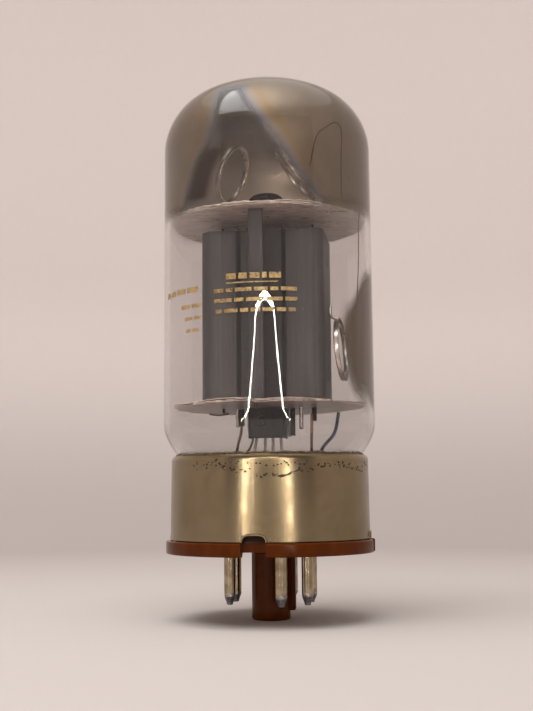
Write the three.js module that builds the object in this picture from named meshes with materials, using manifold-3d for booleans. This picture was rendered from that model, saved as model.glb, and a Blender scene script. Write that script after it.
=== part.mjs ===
// A large octal-base beam power tube: glass bulb, electrode cage on two mica discs, getters, and a
// metal-sleeved octal base. Millimetres, +Z up the tube's axis. The origin is where the axis meets the
// seating plane, the underside of the base wafer's rim. The broad, finned faces of the anode look
// along -Y and +Y, and the locating key points along +X.
import * as THREE from 'three';
import { mergeVertices } from 'three/addons/utils/BufferGeometryUtils.js';
import Module from 'manifold-3d';

const wasm = await Module();
wasm.setup();

// ---------------------------------------------------------------------------------------------------
// Driving dimensions
// ---------------------------------------------------------------------------------------------------

// Clearances left where pieces touch on the real tube.
const FIT = 0.1;
const GAP = 0.3;

// Bulb: a straight-sided T-14 envelope, 1.75 inches across, with a flattened dome.
const BULB_RADIUS = 22.2;
const BULB_TOP = 100.8;
const BULB_WALL = 1.1;
const CROWN_RADIUS = 32;
const SHOULDER_RADIUS = 13.8;
const WAIST_TOP = 26.5;
const WAIST_BOTTOM = 15;
const NECK_RADIUS = 17.6;
const NECK_BOTTOM = 7.6;
const WAIST_STEPS = 5;

// Glass button that closes the neck, and the sealed end of the exhaust tube below it.
const STEM_TOP = 11.4;
const STEM_THICKNESS = 2.6;
const STEM_LEAD_CIRCLE = 9.6;
const TIP_RADIUS = 2.3;
const TIP_BOTTOM = -6;

// Base shell: a nickel-plated sleeve with its top edge turned in and four arches in its foot.
const SHELL_FOOT_RADIUS = 20.75;
const SHELL_HEAD_RADIUS = 20.6;
const SHELL_TOP = 20.1;
const SHELL_WALL = 0.4;
const SHELL_SHOULDER = 1.3;
const ARCH_WIDTH = 4.4;
const ARCH_HEIGHT = 1.5;
const ARCH_STEPS = 8;

// Base wafer: a moulded flange, a locating spigot with a key, and seven pins on the octal circle.
const FLANGE_RADIUS = 21.72;
const FLANGE_THICKNESS = 2.65;
const FLANGE_RECESS = 0.9;
const RIM_WIDTH = 1.6;
const NOTCH_WIDTH = 4.5;
const NOTCH_DEPTH = 1.8;
const NOTCH_ANGLES = [0, 90, 180, 270];
const COLLAR_TOP = 6.2;
const COLLAR_WALL = 1.3;
const FLOOR_TOP = 3;
const SPIGOT_RADIUS = 3.99;
const SPIGOT_BOTTOM = -13.7;
const SPIGOT_WALL = 1.05;
const SPIGOT_ROOT_RADIUS = 5;
const SPIGOT_STEP = 0.7;
const SPIGOT_END = 1.6;
const EDGE = { spigot: 0.7, rim: 0.3 };
const KEY_RADIUS = 5.2;
const KEY_WIDTH = 1.6;
const KEY_BOTTOM = -11.8;
const PIN_CIRCLE = 8.725;
const PIN_RADIUS = 1.18;
const PIN_TIP_RADIUS = 0.67;
const PIN_TIP = -10.5;
const PIN_TAPER = 1.9;
const PIN_TOP = 4.4;
const PIN_BORE_RADIUS = 0.75;
const PIN_BORE_DEPTH = 3;
const PIN_PITCH = 45;
const KEY_ANGLE = 90;
const PIN_NUMBERS = [1, 2, 3, 4, 5, 7, 8];

// Cement between the neck and the sleeve, up to the sleeve's turned-in edge.
const CEMENT_BOTTOM = 10;
const CEMENT_TOP = 19;
const CEMENT_INNER_HEIGHTS = [CEMENT_TOP, 17, 15, CEMENT_BOTTOM];

// The angle on the stem at which the lead of each pin leaves the glass.
const STEM_LEADS = { 2: 157.5, 3: 112.5, 4: 247.5, 5: 292.5, 7: 22.5, 8: 67.5 };
const BASE_WIRE_RADIUS = 0.3;
const CROSSING = { radius: 7, turn: 20, start: 6.6, end: 6.4 };
const STRAP = { gauge: 0.3, half_width: 0.75 };

// Electrode cage.
const MICA_THICKNESS = 0.45;
const TOP_MICA = { radius: 21.0, underside: 69.1 };
const BOTTOM_MICA = { radius: 20.4, underside: 30.0 };
const MICA_TEETH = 60;
const TOOTH_DEPTH = 0.5;
const SHEET = 0.4;
const ANODE_HALF_WIDTH = 12.75;
const ANODE_HALF_DEPTH = 9.6;
const ANODE_CHANNEL_DEPTH = 0.55;
const ANODE_CHANNEL_HALF_WIDTH = 5.2;
const ANODE_CORNER = 2.4;
const ANODE_BOTTOM = 31.2;
const ANODE_TOP = 66.4;
const FIN_OFFSET = 0.35;
const FIN_RADIUS = 17.3;
const FIN_STRIP = { left: -1.2, right: 1.75 };
const FIN_BOTTOM = 30.75;
const FIN_TOP = 68.8;
const EAR_INNER = 13;
const EAR_OUTER = 15.5;
const EAR_RISE = 1.2;
const WINDOW_WIDTH = 2.2;
const WINDOW_HEIGHT = 3.7;
const WINDOW_HEIGHTS = [37.2, 61.6];
const BEAM_PLATE = { inner: 5.3, half_depth: 6, outer: 9.8, sheet: 0.3, bottom: 30.8, top: 66.6 };
const TAB_WIDTH = 1.6;
const TAB_RISE = 0.9;
const CONTROL_GRID = { rod_x: 4.3, rod_radius: 0.4, half_depth: 1.9, wire: 0.11, bottom: 33, top: 66 };
const SCREEN_GRID = { rod_x: 6.8, rod_radius: 0.45, half_depth: 3.6, wire: 0.12, bottom: 33, top: 66 };
const GRID_PITCH = 3;
const ROD_TOP = 71.2;
const CATHODE = { half_width: 3.2, half_depth: 1.05, wall: 0.2, bottom: 28.4, top: 71 };
const HEATER_RADIUS = 0.32;
const HEATER_BOTTOM = 18;
const HEATER_BEND = 21;
const HEATER_MIDDLE = 40;
const HEATERS = {
  heater_left: { legs: [-2.3, -0.85], feet: [[-3, -1.2], [-1.2, 1.4]] },
  heater_right: { legs: [0.85, 2.3], feet: [[0.9, -1.4], [2.4, 1.2]] },
};
const ROD_BOTTOMS = { control_left: 25.2, control_right: 24.2, screen_left: 26.4, screen_right: 25.8 };
const RADIATOR_TOP = 75.9;
const RADIATOR_DEPTH = 5;
const RADIATOR_FOOT = 71.5;
const SHIELD = { left: -3.4, right: 3.9, front: -5.6, depth: 4.2, top: 29.7, bottom: 23.7, sheet: 0.4 };
const WELD_BUTTON = { radius: 1.1, x: -0.6, rise: 0.4, depth: 0.5 };

// Getters: channel-section rings on wire stalks.
const GETTER_RADIUS = 6.2;
const GETTER_SECTION = 0.42;
const STALK_RADIUS = 0.3;
const LEAD_RADIUS = 0.36;
const TOP_GETTERS = {
  left: { centre: [-7.4, -1.2, 80.8], facing: [-0.915, 0.18, 0.36] },
  right: { centre: [5.8, 0.9, 80.6], facing: [0.81, 0.06, 0.585] },
};
const SIDE_GETTER = { x: 15.4, height: 42, facing: [0.994, -0.078, 0.07] };

const ROUND = 48;

// ---------------------------------------------------------------------------------------------------
// Geometry helpers
// ---------------------------------------------------------------------------------------------------

const radians = THREE.MathUtils.degToRad;

/** A point at an angle from -Y towards +X, at a radius and a height. */
function around(angle, radius, height = 0) {
  const turn = radians(angle);
  return [radius * Math.sin(turn), -radius * Math.cos(turn), height];
}

/** Points of an arc about (x, y), from one angle to another in degrees. */
function arc(x, y, radius, from, to, steps) {
  const points = [];
  for (let i = 0; i <= steps; i++) {
    const a = radians(from + ((to - from) * i) / steps);
    points.push([x + radius * Math.cos(a), y + radius * Math.sin(a)]);
  }
  return points;
}

/** Six times the signed volume that a triangle list encloses. */
function enclosed(position, index) {
  const a = new THREE.Vector3();
  const b = new THREE.Vector3();
  const c = new THREE.Vector3();
  let sum = 0;
  for (let i = 0; i < index.length; i += 3) {
    a.fromBufferAttribute(position, index[i]);
    b.fromBufferAttribute(position, index[i + 1]);
    c.fromBufferAttribute(position, index[i + 2]);
    sum += a.dot(b.cross(c));
  }
  return sum;
}

/** Welds shared corners, drops collapsed triangles and turns the faces outwards. */
function closed(geometry) {
  geometry.deleteAttribute('normal');
  geometry.deleteAttribute('uv');
  const welded = mergeVertices(geometry, 1e-4);
  const old = welded.getIndex().array;
  const index = [];
  for (let i = 0; i < old.length; i += 3) {
    const [a, b, c] = [old[i], old[i + 1], old[i + 2]];
    if (a !== b && b !== c && c !== a) index.push(a, b, c);
  }
  if (enclosed(welded.getAttribute('position'), index) < 0) index.reverse();
  welded.setIndex(index);
  return welded;
}

/** Turns a profile of [radius, height] points about the Z axis. */
function turned(profile, segments = ROUND) {
  const points = profile.map(([r, z]) => new THREE.Vector2(r, z));
  return closed(new THREE.LatheGeometry(points, segments).rotateX(Math.PI / 2));
}

/** A flat outline of [x, y] points, with holes, raised from one height to another. */
function raised(outline, bottom, top, holes = []) {
  const shape = new THREE.Shape(outline.map(([x, y]) => new THREE.Vector2(x, y)));
  shape.holes = holes.map((hole) => new THREE.Path(hole.map(([x, y]) => new THREE.Vector2(x, y))));
  const extruded = new THREE.ExtrudeGeometry(shape, { depth: top - bottom, bevelEnabled: false });
  return closed(extruded.translate(0, 0, bottom));
}

/** A closed outline of even thickness along an open run of [x, y] points. */
function ribbon(run, thickness) {
  const left = [];
  const right = [];
  for (let i = 0; i < run.length; i++) {
    const here = new THREE.Vector2(...run[i]);
    const before = new THREE.Vector2(...run[Math.max(i - 1, 0)]);
    const after = new THREE.Vector2(...run[Math.min(i + 1, run.length - 1)]);
    const entering = (i > 0 ? here.clone().sub(before) : after.clone().sub(here)).normalize();
    const leaving = (i < run.length - 1 ? after.clone().sub(here) : entering.clone()).normalize();
    const along = entering.clone().add(leaving).normalize();
    const reach = thickness / 2 / Math.max(along.dot(entering), 0.5);
    left.push([here.x - along.y * reach, here.y + along.x * reach]);
    right.push([here.x + along.y * reach, here.y - along.x * reach]);
  }
  return [...left, ...right.reverse()];
}

/** A box between two corners. */
function block([x0, y0, z0], [x1, y1, z1]) {
  const box = new THREE.BoxGeometry(x1 - x0, y1 - y0, z1 - z0);
  return closed(box.translate((x0 + x1) / 2, (y0 + y1) / 2, (z0 + z1) / 2));
}

/** An upright round bar. */
function bar(x, y, radius, bottom, top, sides = 8) {
  const cylinder = new THREE.CylinderGeometry(radius, radius, top - bottom, sides).rotateX(Math.PI / 2);
  return closed(cylinder.translate(x, y, (top + bottom) / 2));
}

/** Corners of a round hole. */
function roundHole(x, y, radius, sides = 8) {
  return arc(x, y, radius, 0, 360 - 360 / sides, sides - 1);
}

/** Corners of a rectangular hole. */
function slotHole(x, y, width, depth) {
  const [w, d] = [width / 2, depth / 2];
  return [[x - w, y - d], [x + w, y - d], [x + w, y + d], [x - w, y + d]];
}

/** Sweeps a many-sided section along a curve. */
function swept(curve, radius, steps, sides) {
  const section = new THREE.Shape(arc(0, 0, radius, 0, 360 - 360 / sides, sides - 1)
    .map(([x, y]) => new THREE.Vector2(x, y)));
  return closed(new THREE.ExtrudeGeometry(section, { steps, extrudePath: curve, bevelEnabled: false }));
}

/** A wire bent smoothly through a list of [x, y, z] points. */
function wire(points, radius = LEAD_RADIUS, steps = 3 * (points.length - 1), sides = 6) {
  const corners = points.map((p) => new THREE.Vector3(...p));
  if (corners.length === 2) return swept(new THREE.LineCurve3(...corners), radius, 1, sides);
  return swept(new THREE.CatmullRomCurve3(corners, false, 'catmullrom', 0.35), radius, steps, sides);
}

/** A solid for cutting and joining, from a closed geometry. */
function solid(geometry) {
  const vertProperties = new Float32Array(geometry.getAttribute('position').array);
  const triVerts = new Uint32Array(geometry.getIndex().array);
  return new wasm.Manifold(new wasm.Mesh({ numProp: 3, vertProperties, triVerts }));
}

/** A geometry from a solid that has been cut or joined. */
function fromSolid(body) {
  const mesh = body.getMesh();
  const geometry = new THREE.BufferGeometry();
  geometry.setAttribute('position', new THREE.BufferAttribute(new Float32Array(mesh.vertProperties), 3));
  geometry.setIndex(Array.from(mesh.triVerts));
  return geometry;
}

/** The union of some geometries. */
function joined(first, ...others) {
  return fromSolid(others.reduce((sum, other) => sum.add(solid(other)), solid(first)));
}

/** The first geometry with the others taken away. */
function cut(first, ...others) {
  return fromSolid(others.reduce((rest, other) => rest.subtract(solid(other)), solid(first)));
}

// ---------------------------------------------------------------------------------------------------
// Finishes and the assembly
// ---------------------------------------------------------------------------------------------------

const finishes = {
  glass: { color: 0xd9d6cf, roughness: 0.06, metalness: 0 },
  nickel_plate: { color: 0xb3a68f, roughness: 0.32, metalness: 1 },
  phenolic: { color: 0x5a3216, roughness: 0.42, metalness: 0 },
  cement: { color: 0x6d5a42, roughness: 0.9, metalness: 0 },
  pin_metal: { color: 0x9a9084, roughness: 0.35, metalness: 1 },
  copper: { color: 0xa5623c, roughness: 0.4, metalness: 1 },
  mica: { color: 0x97877f, roughness: 0.45, metalness: 0 },
  anode_coat: { color: 0x4b4747, roughness: 0.62, metalness: 0.4 },
  nickel: { color: 0x8f8a84, roughness: 0.35, metalness: 1 },
  dark_nickel: { color: 0x494440, roughness: 0.5, metalness: 0.8 },
  grid_wire: { color: 0xc2a96e, roughness: 0.35, metalness: 1 },
  cathode_coat: { color: 0xd8d2c6, roughness: 0.9, metalness: 0 },
  heater_coat: { color: 0xe6e2da, roughness: 0.95, metalness: 0 },
  blued_strap: { color: 0x232c44, roughness: 0.35, metalness: 0.9 },
};

const tube = new THREE.Group();

/** Adds a named piece with one of the finishes. */
function piece(name, geometry, finish) {
  const mesh = new THREE.Mesh(geometry, new THREE.MeshStandardMaterial(finishes[finish]));
  mesh.name = name;
  tube.add(mesh);
  return mesh;
}

// ---------------------------------------------------------------------------------------------------
// Envelope
// ---------------------------------------------------------------------------------------------------

/** Radius of the bulb's outer face where it draws in to the neck. */
function waistRadius(height) {
  const t = THREE.MathUtils.clamp((WAIST_TOP - height) / (WAIST_TOP - WAIST_BOTTOM), 0, 1);
  return BULB_RADIUS - ((BULB_RADIUS - NECK_RADIUS) * (1 - Math.cos(Math.PI * t))) / 2;
}

/** Crown, shoulder, straight side, waist and neck of the bulb, taken in by a wall thickness. */
function bulbProfile(inset) {
  const radius = BULB_RADIUS - inset;
  const crown = CROWN_RADIUS - inset;
  const shoulder = SHOULDER_RADIUS - inset;
  const crownCentre = BULB_TOP - CROWN_RADIUS;
  const spread = crown - shoulder;
  const offset = radius - shoulder;
  const shoulderCentre = crownCentre + Math.sqrt(spread * spread - offset * offset);
  const join = THREE.MathUtils.radToDeg(Math.atan2(shoulderCentre - crownCentre, offset));
  const top = arc(0, crownCentre, crown, 90, join, 4);
  const side = arc(offset, shoulderCentre, shoulder, join, 0, 6).slice(1);
  const waist = [];
  for (let i = 0; i <= WAIST_STEPS; i++) {
    const height = WAIST_TOP + ((WAIST_BOTTOM - WAIST_TOP) * i) / WAIST_STEPS;
    waist.push([waistRadius(height) - inset, height]);
  }
  top[0] = [0, BULB_TOP - inset];
  return [...top, ...side, ...waist, [NECK_RADIUS - inset, NECK_BOTTOM]];
}

piece('glass_envelope', turned([...bulbProfile(0), ...bulbProfile(BULB_WALL).reverse()]), 'glass');

const stemRadius = NECK_RADIUS - BULB_WALL - FIT;
const stemBottom = STEM_TOP - STEM_THICKNESS;
const stemProfile = [
  [0, STEM_TOP], [STEM_LEAD_CIRCLE - 1.6, STEM_TOP], [STEM_LEAD_CIRCLE - 0.9, STEM_TOP + 0.5],
  [STEM_LEAD_CIRCLE + 0.9, STEM_TOP + 0.5], [STEM_LEAD_CIRCLE + 1.6, STEM_TOP],
  [stemRadius, STEM_TOP - 0.6], [stemRadius, stemBottom], [0, stemBottom],
];
piece('glass_stem', turned(stemProfile), 'glass');

const tipProfile = [
  [0, stemBottom - GAP], [TIP_RADIUS, stemBottom - GAP], [TIP_RADIUS, TIP_BOTTOM + 5],
  [TIP_RADIUS * 0.7, TIP_BOTTOM + 2], [TIP_RADIUS * 0.3, TIP_BOTTOM + 0.5], [0, TIP_BOTTOM],
];
piece('exhaust_tip', turned(tipProfile, 16), 'glass');

// ---------------------------------------------------------------------------------------------------
// Base
// ---------------------------------------------------------------------------------------------------

const flangeTop = FLANGE_THICKNESS;
const shellFoot = flangeTop + FIT;

/** A slab across the base's edge at one of the four notches. */
function edgeSlab(angle, inner, outer, width, bottom, top) {
  const slab = block([-width / 2, -outer, bottom], [width / 2, -inner, top]);
  return slab.rotateZ(radians(angle));
}

/** The sleeve, its head turned in and its foot cut by four arches. */
function shellGeometry() {
  const centre = SHELL_HEAD_RADIUS - SHELL_SHOULDER;
  const outside = arc(centre, SHELL_TOP - SHELL_SHOULDER, SHELL_SHOULDER, 0, 75, 4);
  const inside = arc(centre, SHELL_TOP - SHELL_SHOULDER, SHELL_SHOULDER - SHELL_WALL, 75, 0, 4);
  const foot = [[SHELL_FOOT_RADIUS - SHELL_WALL, shellFoot], [SHELL_FOOT_RADIUS, shellFoot]];
  const sleeve = turned([...outside, ...inside, ...foot, outside[0]]);
  const half = ARCH_WIDTH / 2;
  const crest = arc(0, 0, half, 180, 0, ARCH_STEPS)
    .map(([x, y]) => [x, shellFoot + (y * ARCH_HEIGHT) / half]);
  const opening = [[-half, shellFoot - 1], ...crest, [half, shellFoot - 1]];
  const arches = NOTCH_ANGLES.map((angle) => {
    const cutter = raised(opening, SHELL_HEAD_RADIUS - 2, SHELL_FOOT_RADIUS + 2);
    return cutter.rotateX(Math.PI / 2).rotateZ(radians(angle));
  });
  return cut(sleeve, ...arches);
}
piece('base_shell', shellGeometry(), 'nickel_plate');

/** Angle of a pin, counted from the key by its number. */
function pinAngle(number) {
  return (KEY_ANGLE + PIN_PITCH * (number - 0.5)) % 360;
}

/** The moulded wafer with its spigot and key, notched at its rim and bored for the pins. */
function waferGeometry() {
  const collar = SHELL_FOOT_RADIUS - SHELL_WALL - FIT;
  const rimInner = FLANGE_RADIUS - RIM_WIDTH;
  const bore = SPIGOT_RADIUS - SPIGOT_WALL;
  const body = turned([
    [0, SPIGOT_BOTTOM], [SPIGOT_RADIUS - EDGE.spigot, SPIGOT_BOTTOM],
    [SPIGOT_RADIUS, SPIGOT_BOTTOM + EDGE.spigot], [SPIGOT_RADIUS, FLANGE_RECESS - SPIGOT_STEP],
    [SPIGOT_ROOT_RADIUS, FLANGE_RECESS - SPIGOT_STEP], [SPIGOT_ROOT_RADIUS, FLANGE_RECESS],
    [rimInner, FLANGE_RECESS], [rimInner, 0], [FLANGE_RADIUS - EDGE.rim, 0], [FLANGE_RADIUS, EDGE.rim],
    [FLANGE_RADIUS, flangeTop - EDGE.rim], [FLANGE_RADIUS - EDGE.rim, flangeTop],
    [collar, flangeTop], [collar, COLLAR_TOP], [collar - COLLAR_WALL, COLLAR_TOP],
    [collar - COLLAR_WALL, FLOOR_TOP], [bore, FLOOR_TOP],
    [bore, SPIGOT_BOTTOM + SPIGOT_END], [0, SPIGOT_BOTTOM + SPIGOT_END],
  ]);
  const key = block(
    [SPIGOT_RADIUS - 0.6, -KEY_WIDTH / 2, KEY_BOTTOM],
    [KEY_RADIUS, KEY_WIDTH / 2, FLANGE_RECESS + 0.5],
  );
  const notches = NOTCH_ANGLES.map((angle) =>
    edgeSlab(angle, FLANGE_RADIUS - NOTCH_DEPTH, FLANGE_RADIUS + 1, NOTCH_WIDTH, -1, flangeTop + 1));
  const holes = PIN_NUMBERS.map((number) => {
    const [x, y] = around(pinAngle(number), PIN_CIRCLE);
    return bar(x, y, PIN_RADIUS + FIT, FLANGE_RECESS - 1, FLOOR_TOP + 1, 16);
  });
  return cut(joined(body, key), ...notches, ...holes);
}
piece('base_wafer', waferGeometry(), 'phenolic');

const cementOuter = SHELL_HEAD_RADIUS - SHELL_WALL - GAP;
const cementProfile = [
  [cementOuter, CEMENT_BOTTOM], [cementOuter, CEMENT_TOP - 0.6],
  ...CEMENT_INNER_HEIGHTS.map((height) => [waistRadius(height) + GAP, height]),
];
piece('base_cement', turned([...cementProfile, cementProfile[0]]), 'cement');

const pinProfile = [
  [0, PIN_TIP], [PIN_TIP_RADIUS * 0.8, PIN_TIP + 0.1], [PIN_TIP_RADIUS, PIN_TIP + 0.35],
  [PIN_RADIUS, PIN_TIP + PIN_TAPER], [PIN_RADIUS, PIN_TOP], [PIN_BORE_RADIUS, PIN_TOP],
  [PIN_BORE_RADIUS, PIN_TOP - PIN_BORE_DEPTH], [0, PIN_TOP - PIN_BORE_DEPTH],
];
for (const number of PIN_NUMBERS) {
  const [x, y] = around(pinAngle(number), PIN_CIRCLE);
  piece(`pin_${number}`, turned(pinProfile, 16), 'pin_metal').position.set(x, y, 0);
}

/** A strap from the first pin's top, out to the inside of the shell. */
function groundStrap() {
  const angle = pinAngle(1);
  const top = PIN_TOP + GAP;
  const inner = PIN_CIRCLE - 1;
  const outer = SHELL_FOOT_RADIUS - SHELL_WALL - COLLAR_WALL - 1;
  const run = [[inner, top + 0.15], [outer - 1.5, top + 0.6], [outer, top + 2.4], [outer + 0.9, top + 3.6]];
  const strip = raised(ribbon(run, STRAP.gauge), -STRAP.half_width, STRAP.half_width);
  return closed(strip.rotateX(Math.PI / 2).rotateZ(radians(angle - 90)));
}
piece('shell_ground_strap', groundStrap(), 'nickel');

// Wires in the base: each runs from under the stem down into its pin. The anode's wire leaves the stem
// behind the key and crosses under the stem to its pin.
for (const [number, angle] of Object.entries(STEM_LEADS)) {
  const pin = pinAngle(Number(number));
  const start = around(angle, STEM_LEAD_CIRCLE, stemBottom - GAP);
  const end = around(pin, PIN_CIRCLE, PIN_TOP - 2.2);
  const above = around(pin, PIN_CIRCLE, PIN_TOP + 1);
  const crossing = [
    around(angle + CROSSING.turn, CROSSING.radius, CROSSING.start),
    around(pin - CROSSING.turn, CROSSING.radius, CROSSING.end),
  ];
  const route = [start, ...(angle === pin ? [] : crossing), above, end];
  piece(`base_wire_${number}`, wire(route, BASE_WIRE_RADIUS), 'copper');
}

// ---------------------------------------------------------------------------------------------------
// Mica discs
// ---------------------------------------------------------------------------------------------------

/** A disc with a fine saw-toothed edge that grips the bulb. */
function toothedOutline(radius) {
  const points = [];
  for (let i = 0; i < MICA_TEETH; i++) {
    const step = 360 / MICA_TEETH;
    points.push(around(i * step, radius), around((i + 0.5) * step, radius - TOOTH_DEPTH));
  }
  return points;
}

/** Holes in both micas for the grid rods, the cathode, the anode's ears and the beam plates' tabs. */
function cageHoles() {
  const holes = [slotHole(0, 0, 2 * (CATHODE.half_width + FIT), 2 * (CATHODE.half_depth + FIT))];
  for (const side of [-1, 1]) {
    holes.push(roundHole(side * CONTROL_GRID.rod_x, 0, CONTROL_GRID.rod_radius + FIT));
    holes.push(roundHole(side * SCREEN_GRID.rod_x, 0, SCREEN_GRID.rod_radius + FIT));
    holes.push(slotHole(side * BEAM_PLATE.outer, 0, BEAM_PLATE.sheet + 2 * FIT, TAB_WIDTH + 2 * FIT));
    const ear = (side * (EAR_INNER + EAR_OUTER)) / 2;
    holes.push(slotHole(side * FIN_OFFSET, ear, SHEET + 2 * FIT, EAR_OUTER - EAR_INNER + 2 * FIT));
  }
  return holes;
}

for (const [name, mica] of [['top_mica', TOP_MICA], ['bottom_mica', BOTTOM_MICA]]) {
  const upper = mica.underside + MICA_THICKNESS;
  piece(name, raised(toothedOutline(mica.radius), mica.underside, upper, cageHoles()), 'mica');
}

// ---------------------------------------------------------------------------------------------------
// Anode and beam plates
// ---------------------------------------------------------------------------------------------------

/** One anode half, drawn as the left one: a strip on its front fin covers its twin's edge too. */
function anodeHalf() {
  const face = ANODE_HALF_DEPTH - SHEET / 2;
  const channel = face - ANODE_CHANNEL_DEPTH;
  const side = -(ANODE_HALF_WIDTH - SHEET / 2);
  const corner = side + ANODE_CORNER;
  const front = [
    [-FIN_OFFSET, -channel - 0.6], [-FIN_OFFSET - 0.5, -channel],
    [-ANODE_CHANNEL_HALF_WIDTH + 0.8, -channel], [-ANODE_CHANNEL_HALF_WIDTH, -face],
  ];
  const wall = [
    ...arc(corner, -(face - ANODE_CORNER), ANODE_CORNER, 270, 180, 4),
    ...arc(corner, face - ANODE_CORNER, ANODE_CORNER, 180, 90, 4),
  ];
  const back = front.map(([x, y]) => [x, -y]).reverse();
  const shell = raised(ribbon([...front, ...wall, ...back], SHEET), ANODE_BOTTOM, ANODE_TOP);
  const lipY = -(FIN_RADIUS - SHEET / 2);
  const frontRun = [[-FIN_OFFSET, lipY], [-FIN_OFFSET, -channel - 0.5]];
  const backRun = [[-FIN_OFFSET, channel + 0.5], [-FIN_OFFSET, FIN_RADIUS - SHEET - GAP]];
  const frontFin = raised(ribbon(frontRun, SHEET), FIN_BOTTOM, FIN_TOP);
  const backFin = raised(ribbon(backRun, SHEET), FIN_BOTTOM, FIN_TOP);
  const strip = block(
    [FIN_STRIP.left, lipY - SHEET / 2, FIN_BOTTOM],
    [FIN_STRIP.right, lipY + SHEET / 2, FIN_TOP],
  );
  const finLeft = -FIN_OFFSET - SHEET / 2;
  const earBottom = BOTTOM_MICA.underside - EAR_RISE;
  const earTop = TOP_MICA.underside + MICA_THICKNESS + EAR_RISE;
  const ear = block([finLeft, -EAR_OUTER, earBottom], [finLeft + SHEET, -EAR_INNER, earTop]);
  const windows = WINDOW_HEIGHTS.map((height) => block(
    [side - 1, -WINDOW_WIDTH / 2, height - WINDOW_HEIGHT / 2],
    [side + 1, WINDOW_WIDTH / 2, height + WINDOW_HEIGHT / 2],
  ));
  return cut(joined(shell, frontFin, backFin, strip, ear), ...windows);
}
piece('anode_left', anodeHalf(), 'anode_coat');
piece('anode_right', anodeHalf().rotateZ(Math.PI), 'anode_coat');

/** One beam-forming plate: a channel round the grid rods, open towards the cathode's flat sides. */
function beamPlate() {
  const { inner, half_depth: depth, outer, sheet, bottom, top } = BEAM_PLATE;
  const run = [
    [inner, -depth], [outer - 2, -depth], [outer, -depth + 2.4],
    [outer, depth - 2.4], [outer - 2, depth], [inner, depth],
  ];
  const channel = raised(ribbon(run, sheet), bottom, top);
  const tab = block(
    [outer - sheet / 2, -TAB_WIDTH / 2, BOTTOM_MICA.underside - TAB_RISE],
    [outer + sheet / 2, TAB_WIDTH / 2, TOP_MICA.underside + MICA_THICKNESS + TAB_RISE],
  );
  return joined(channel, tab);
}
piece('beam_plate_right', beamPlate(), 'dark_nickel');
piece('beam_plate_left', beamPlate().rotateZ(Math.PI), 'dark_nickel');

// ---------------------------------------------------------------------------------------------------
// Grids, cathode and heaters
// ---------------------------------------------------------------------------------------------------

for (const [grid, size] of [['control', CONTROL_GRID], ['screen', SCREEN_GRID]]) {
  for (const [hand, side] of [['left', -1], ['right', 1]]) {
    const rod = bar(side * size.rod_x, 0, size.rod_radius, ROD_BOTTOMS[`${grid}_${hand}`], ROD_TOP);
    piece(`${grid}_grid_rod_${hand}`, rod, 'nickel');
  }
}

/** The lateral wire of a grid: a flattened helix that passes outside both side rods. */
class GridHelix extends THREE.Curve {
  constructor(size) {
    super();
    this.size = size;
    this.turns = Math.round((size.top - size.bottom) / GRID_PITCH);
    this.arcLengthDivisions = 60 * this.turns;
  }

  getPoint(t, target = new THREE.Vector3()) {
    const { rod_x, rod_radius, wire: thickness, half_depth, bottom, top } = this.size;
    const turn = 2 * Math.PI * this.turns * t;
    const reach = rod_x + rod_radius + GAP + thickness;
    return target.set(reach * Math.cos(turn), half_depth * Math.sin(turn), bottom + (top - bottom) * t);
  }
}

for (const [grid, size] of [['control', CONTROL_GRID], ['screen', SCREEN_GRID]]) {
  const helix = new GridHelix(size);
  piece(`${grid}_grid_winding`, swept(helix, size.wire, 10 * helix.turns, 4), 'grid_wire');
}

/** A flat-sided sleeve, open at both ends. */
function cathodeSleeve() {
  const { half_width: w, half_depth: d, wall, bottom, top } = CATHODE;
  const r = d * 0.7;
  const outline = (inset) => [
    ...arc(w - r, -d + r, r - inset, -90, 0, 2), ...arc(w - r, d - r, r - inset, 0, 90, 2),
    ...arc(-w + r, d - r, r - inset, 90, 180, 2), ...arc(-w + r, -d + r, r - inset, 180, 270, 2),
  ];
  return raised(outline(0), bottom, top, [outline(wall)]);
}
piece('cathode_sleeve', cathodeSleeve(), 'cathode_coat');

// Two hairpin heaters stand side by side in the cathode. Their legs spread below it towards the stem.
for (const [name, { legs, feet }] of Object.entries(HEATERS)) {
  const crest = CATHODE.top - 2.5;
  const points = [
    [...feet[0], HEATER_BOTTOM], [...feet[0], HEATER_BEND], [legs[0], 0, CATHODE.bottom],
    [legs[0], 0, HEATER_MIDDLE], [legs[0], 0, crest - 1], [(legs[0] + legs[1]) / 2, 0, crest],
    [legs[1], 0, crest - 1], [legs[1], 0, HEATER_MIDDLE], [legs[1], 0, CATHODE.bottom],
    [...feet[1], HEATER_BEND], [...feet[1], HEATER_BOTTOM],
  ];
  piece(name, wire(points, HEATER_RADIUS, 32, 5), 'heater_coat');
}

/** A cooling flag: a strip arched over the tops of the control grid's two rods. */
function gridRadiator() {
  const height = RADIATOR_TOP - RADIATOR_FOOT;
  const reach = CONTROL_GRID.rod_x;
  const run = arc(0, 0, 1, 180, 0, 12).map(([x, z]) => [x * reach, RADIATOR_FOOT + z * height]);
  const strip = raised(ribbon(run, 0.3), -RADIATOR_DEPTH / 2, RADIATOR_DEPTH / 2);
  return closed(strip.rotateX(Math.PI / 2));
}
piece('grid_radiator', gridRadiator(), 'dark_nickel');

// ---------------------------------------------------------------------------------------------------
// Below the bottom mica
// ---------------------------------------------------------------------------------------------------

/** A folded screen in front of the cathode's lower end, with a round weld button on its face. */
function lowerShield() {
  const { left, right, front, depth, top, bottom, sheet } = SHIELD;
  const run = [[left, front + depth], [left, front], [right, front], [right, front + depth]];
  const box = raised(ribbon(run, sheet), bottom, top);
  const button = bar(0, 0, WELD_BUTTON.radius, 0, WELD_BUTTON.depth, 12).rotateX(Math.PI / 2);
  button.translate(WELD_BUTTON.x, front - sheet / 2 + FIT, (top + bottom) / 2 + WELD_BUTTON.rise);
  return joined(box, button);
}
piece('lower_shield', lowerShield(), 'dark_nickel');

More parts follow.
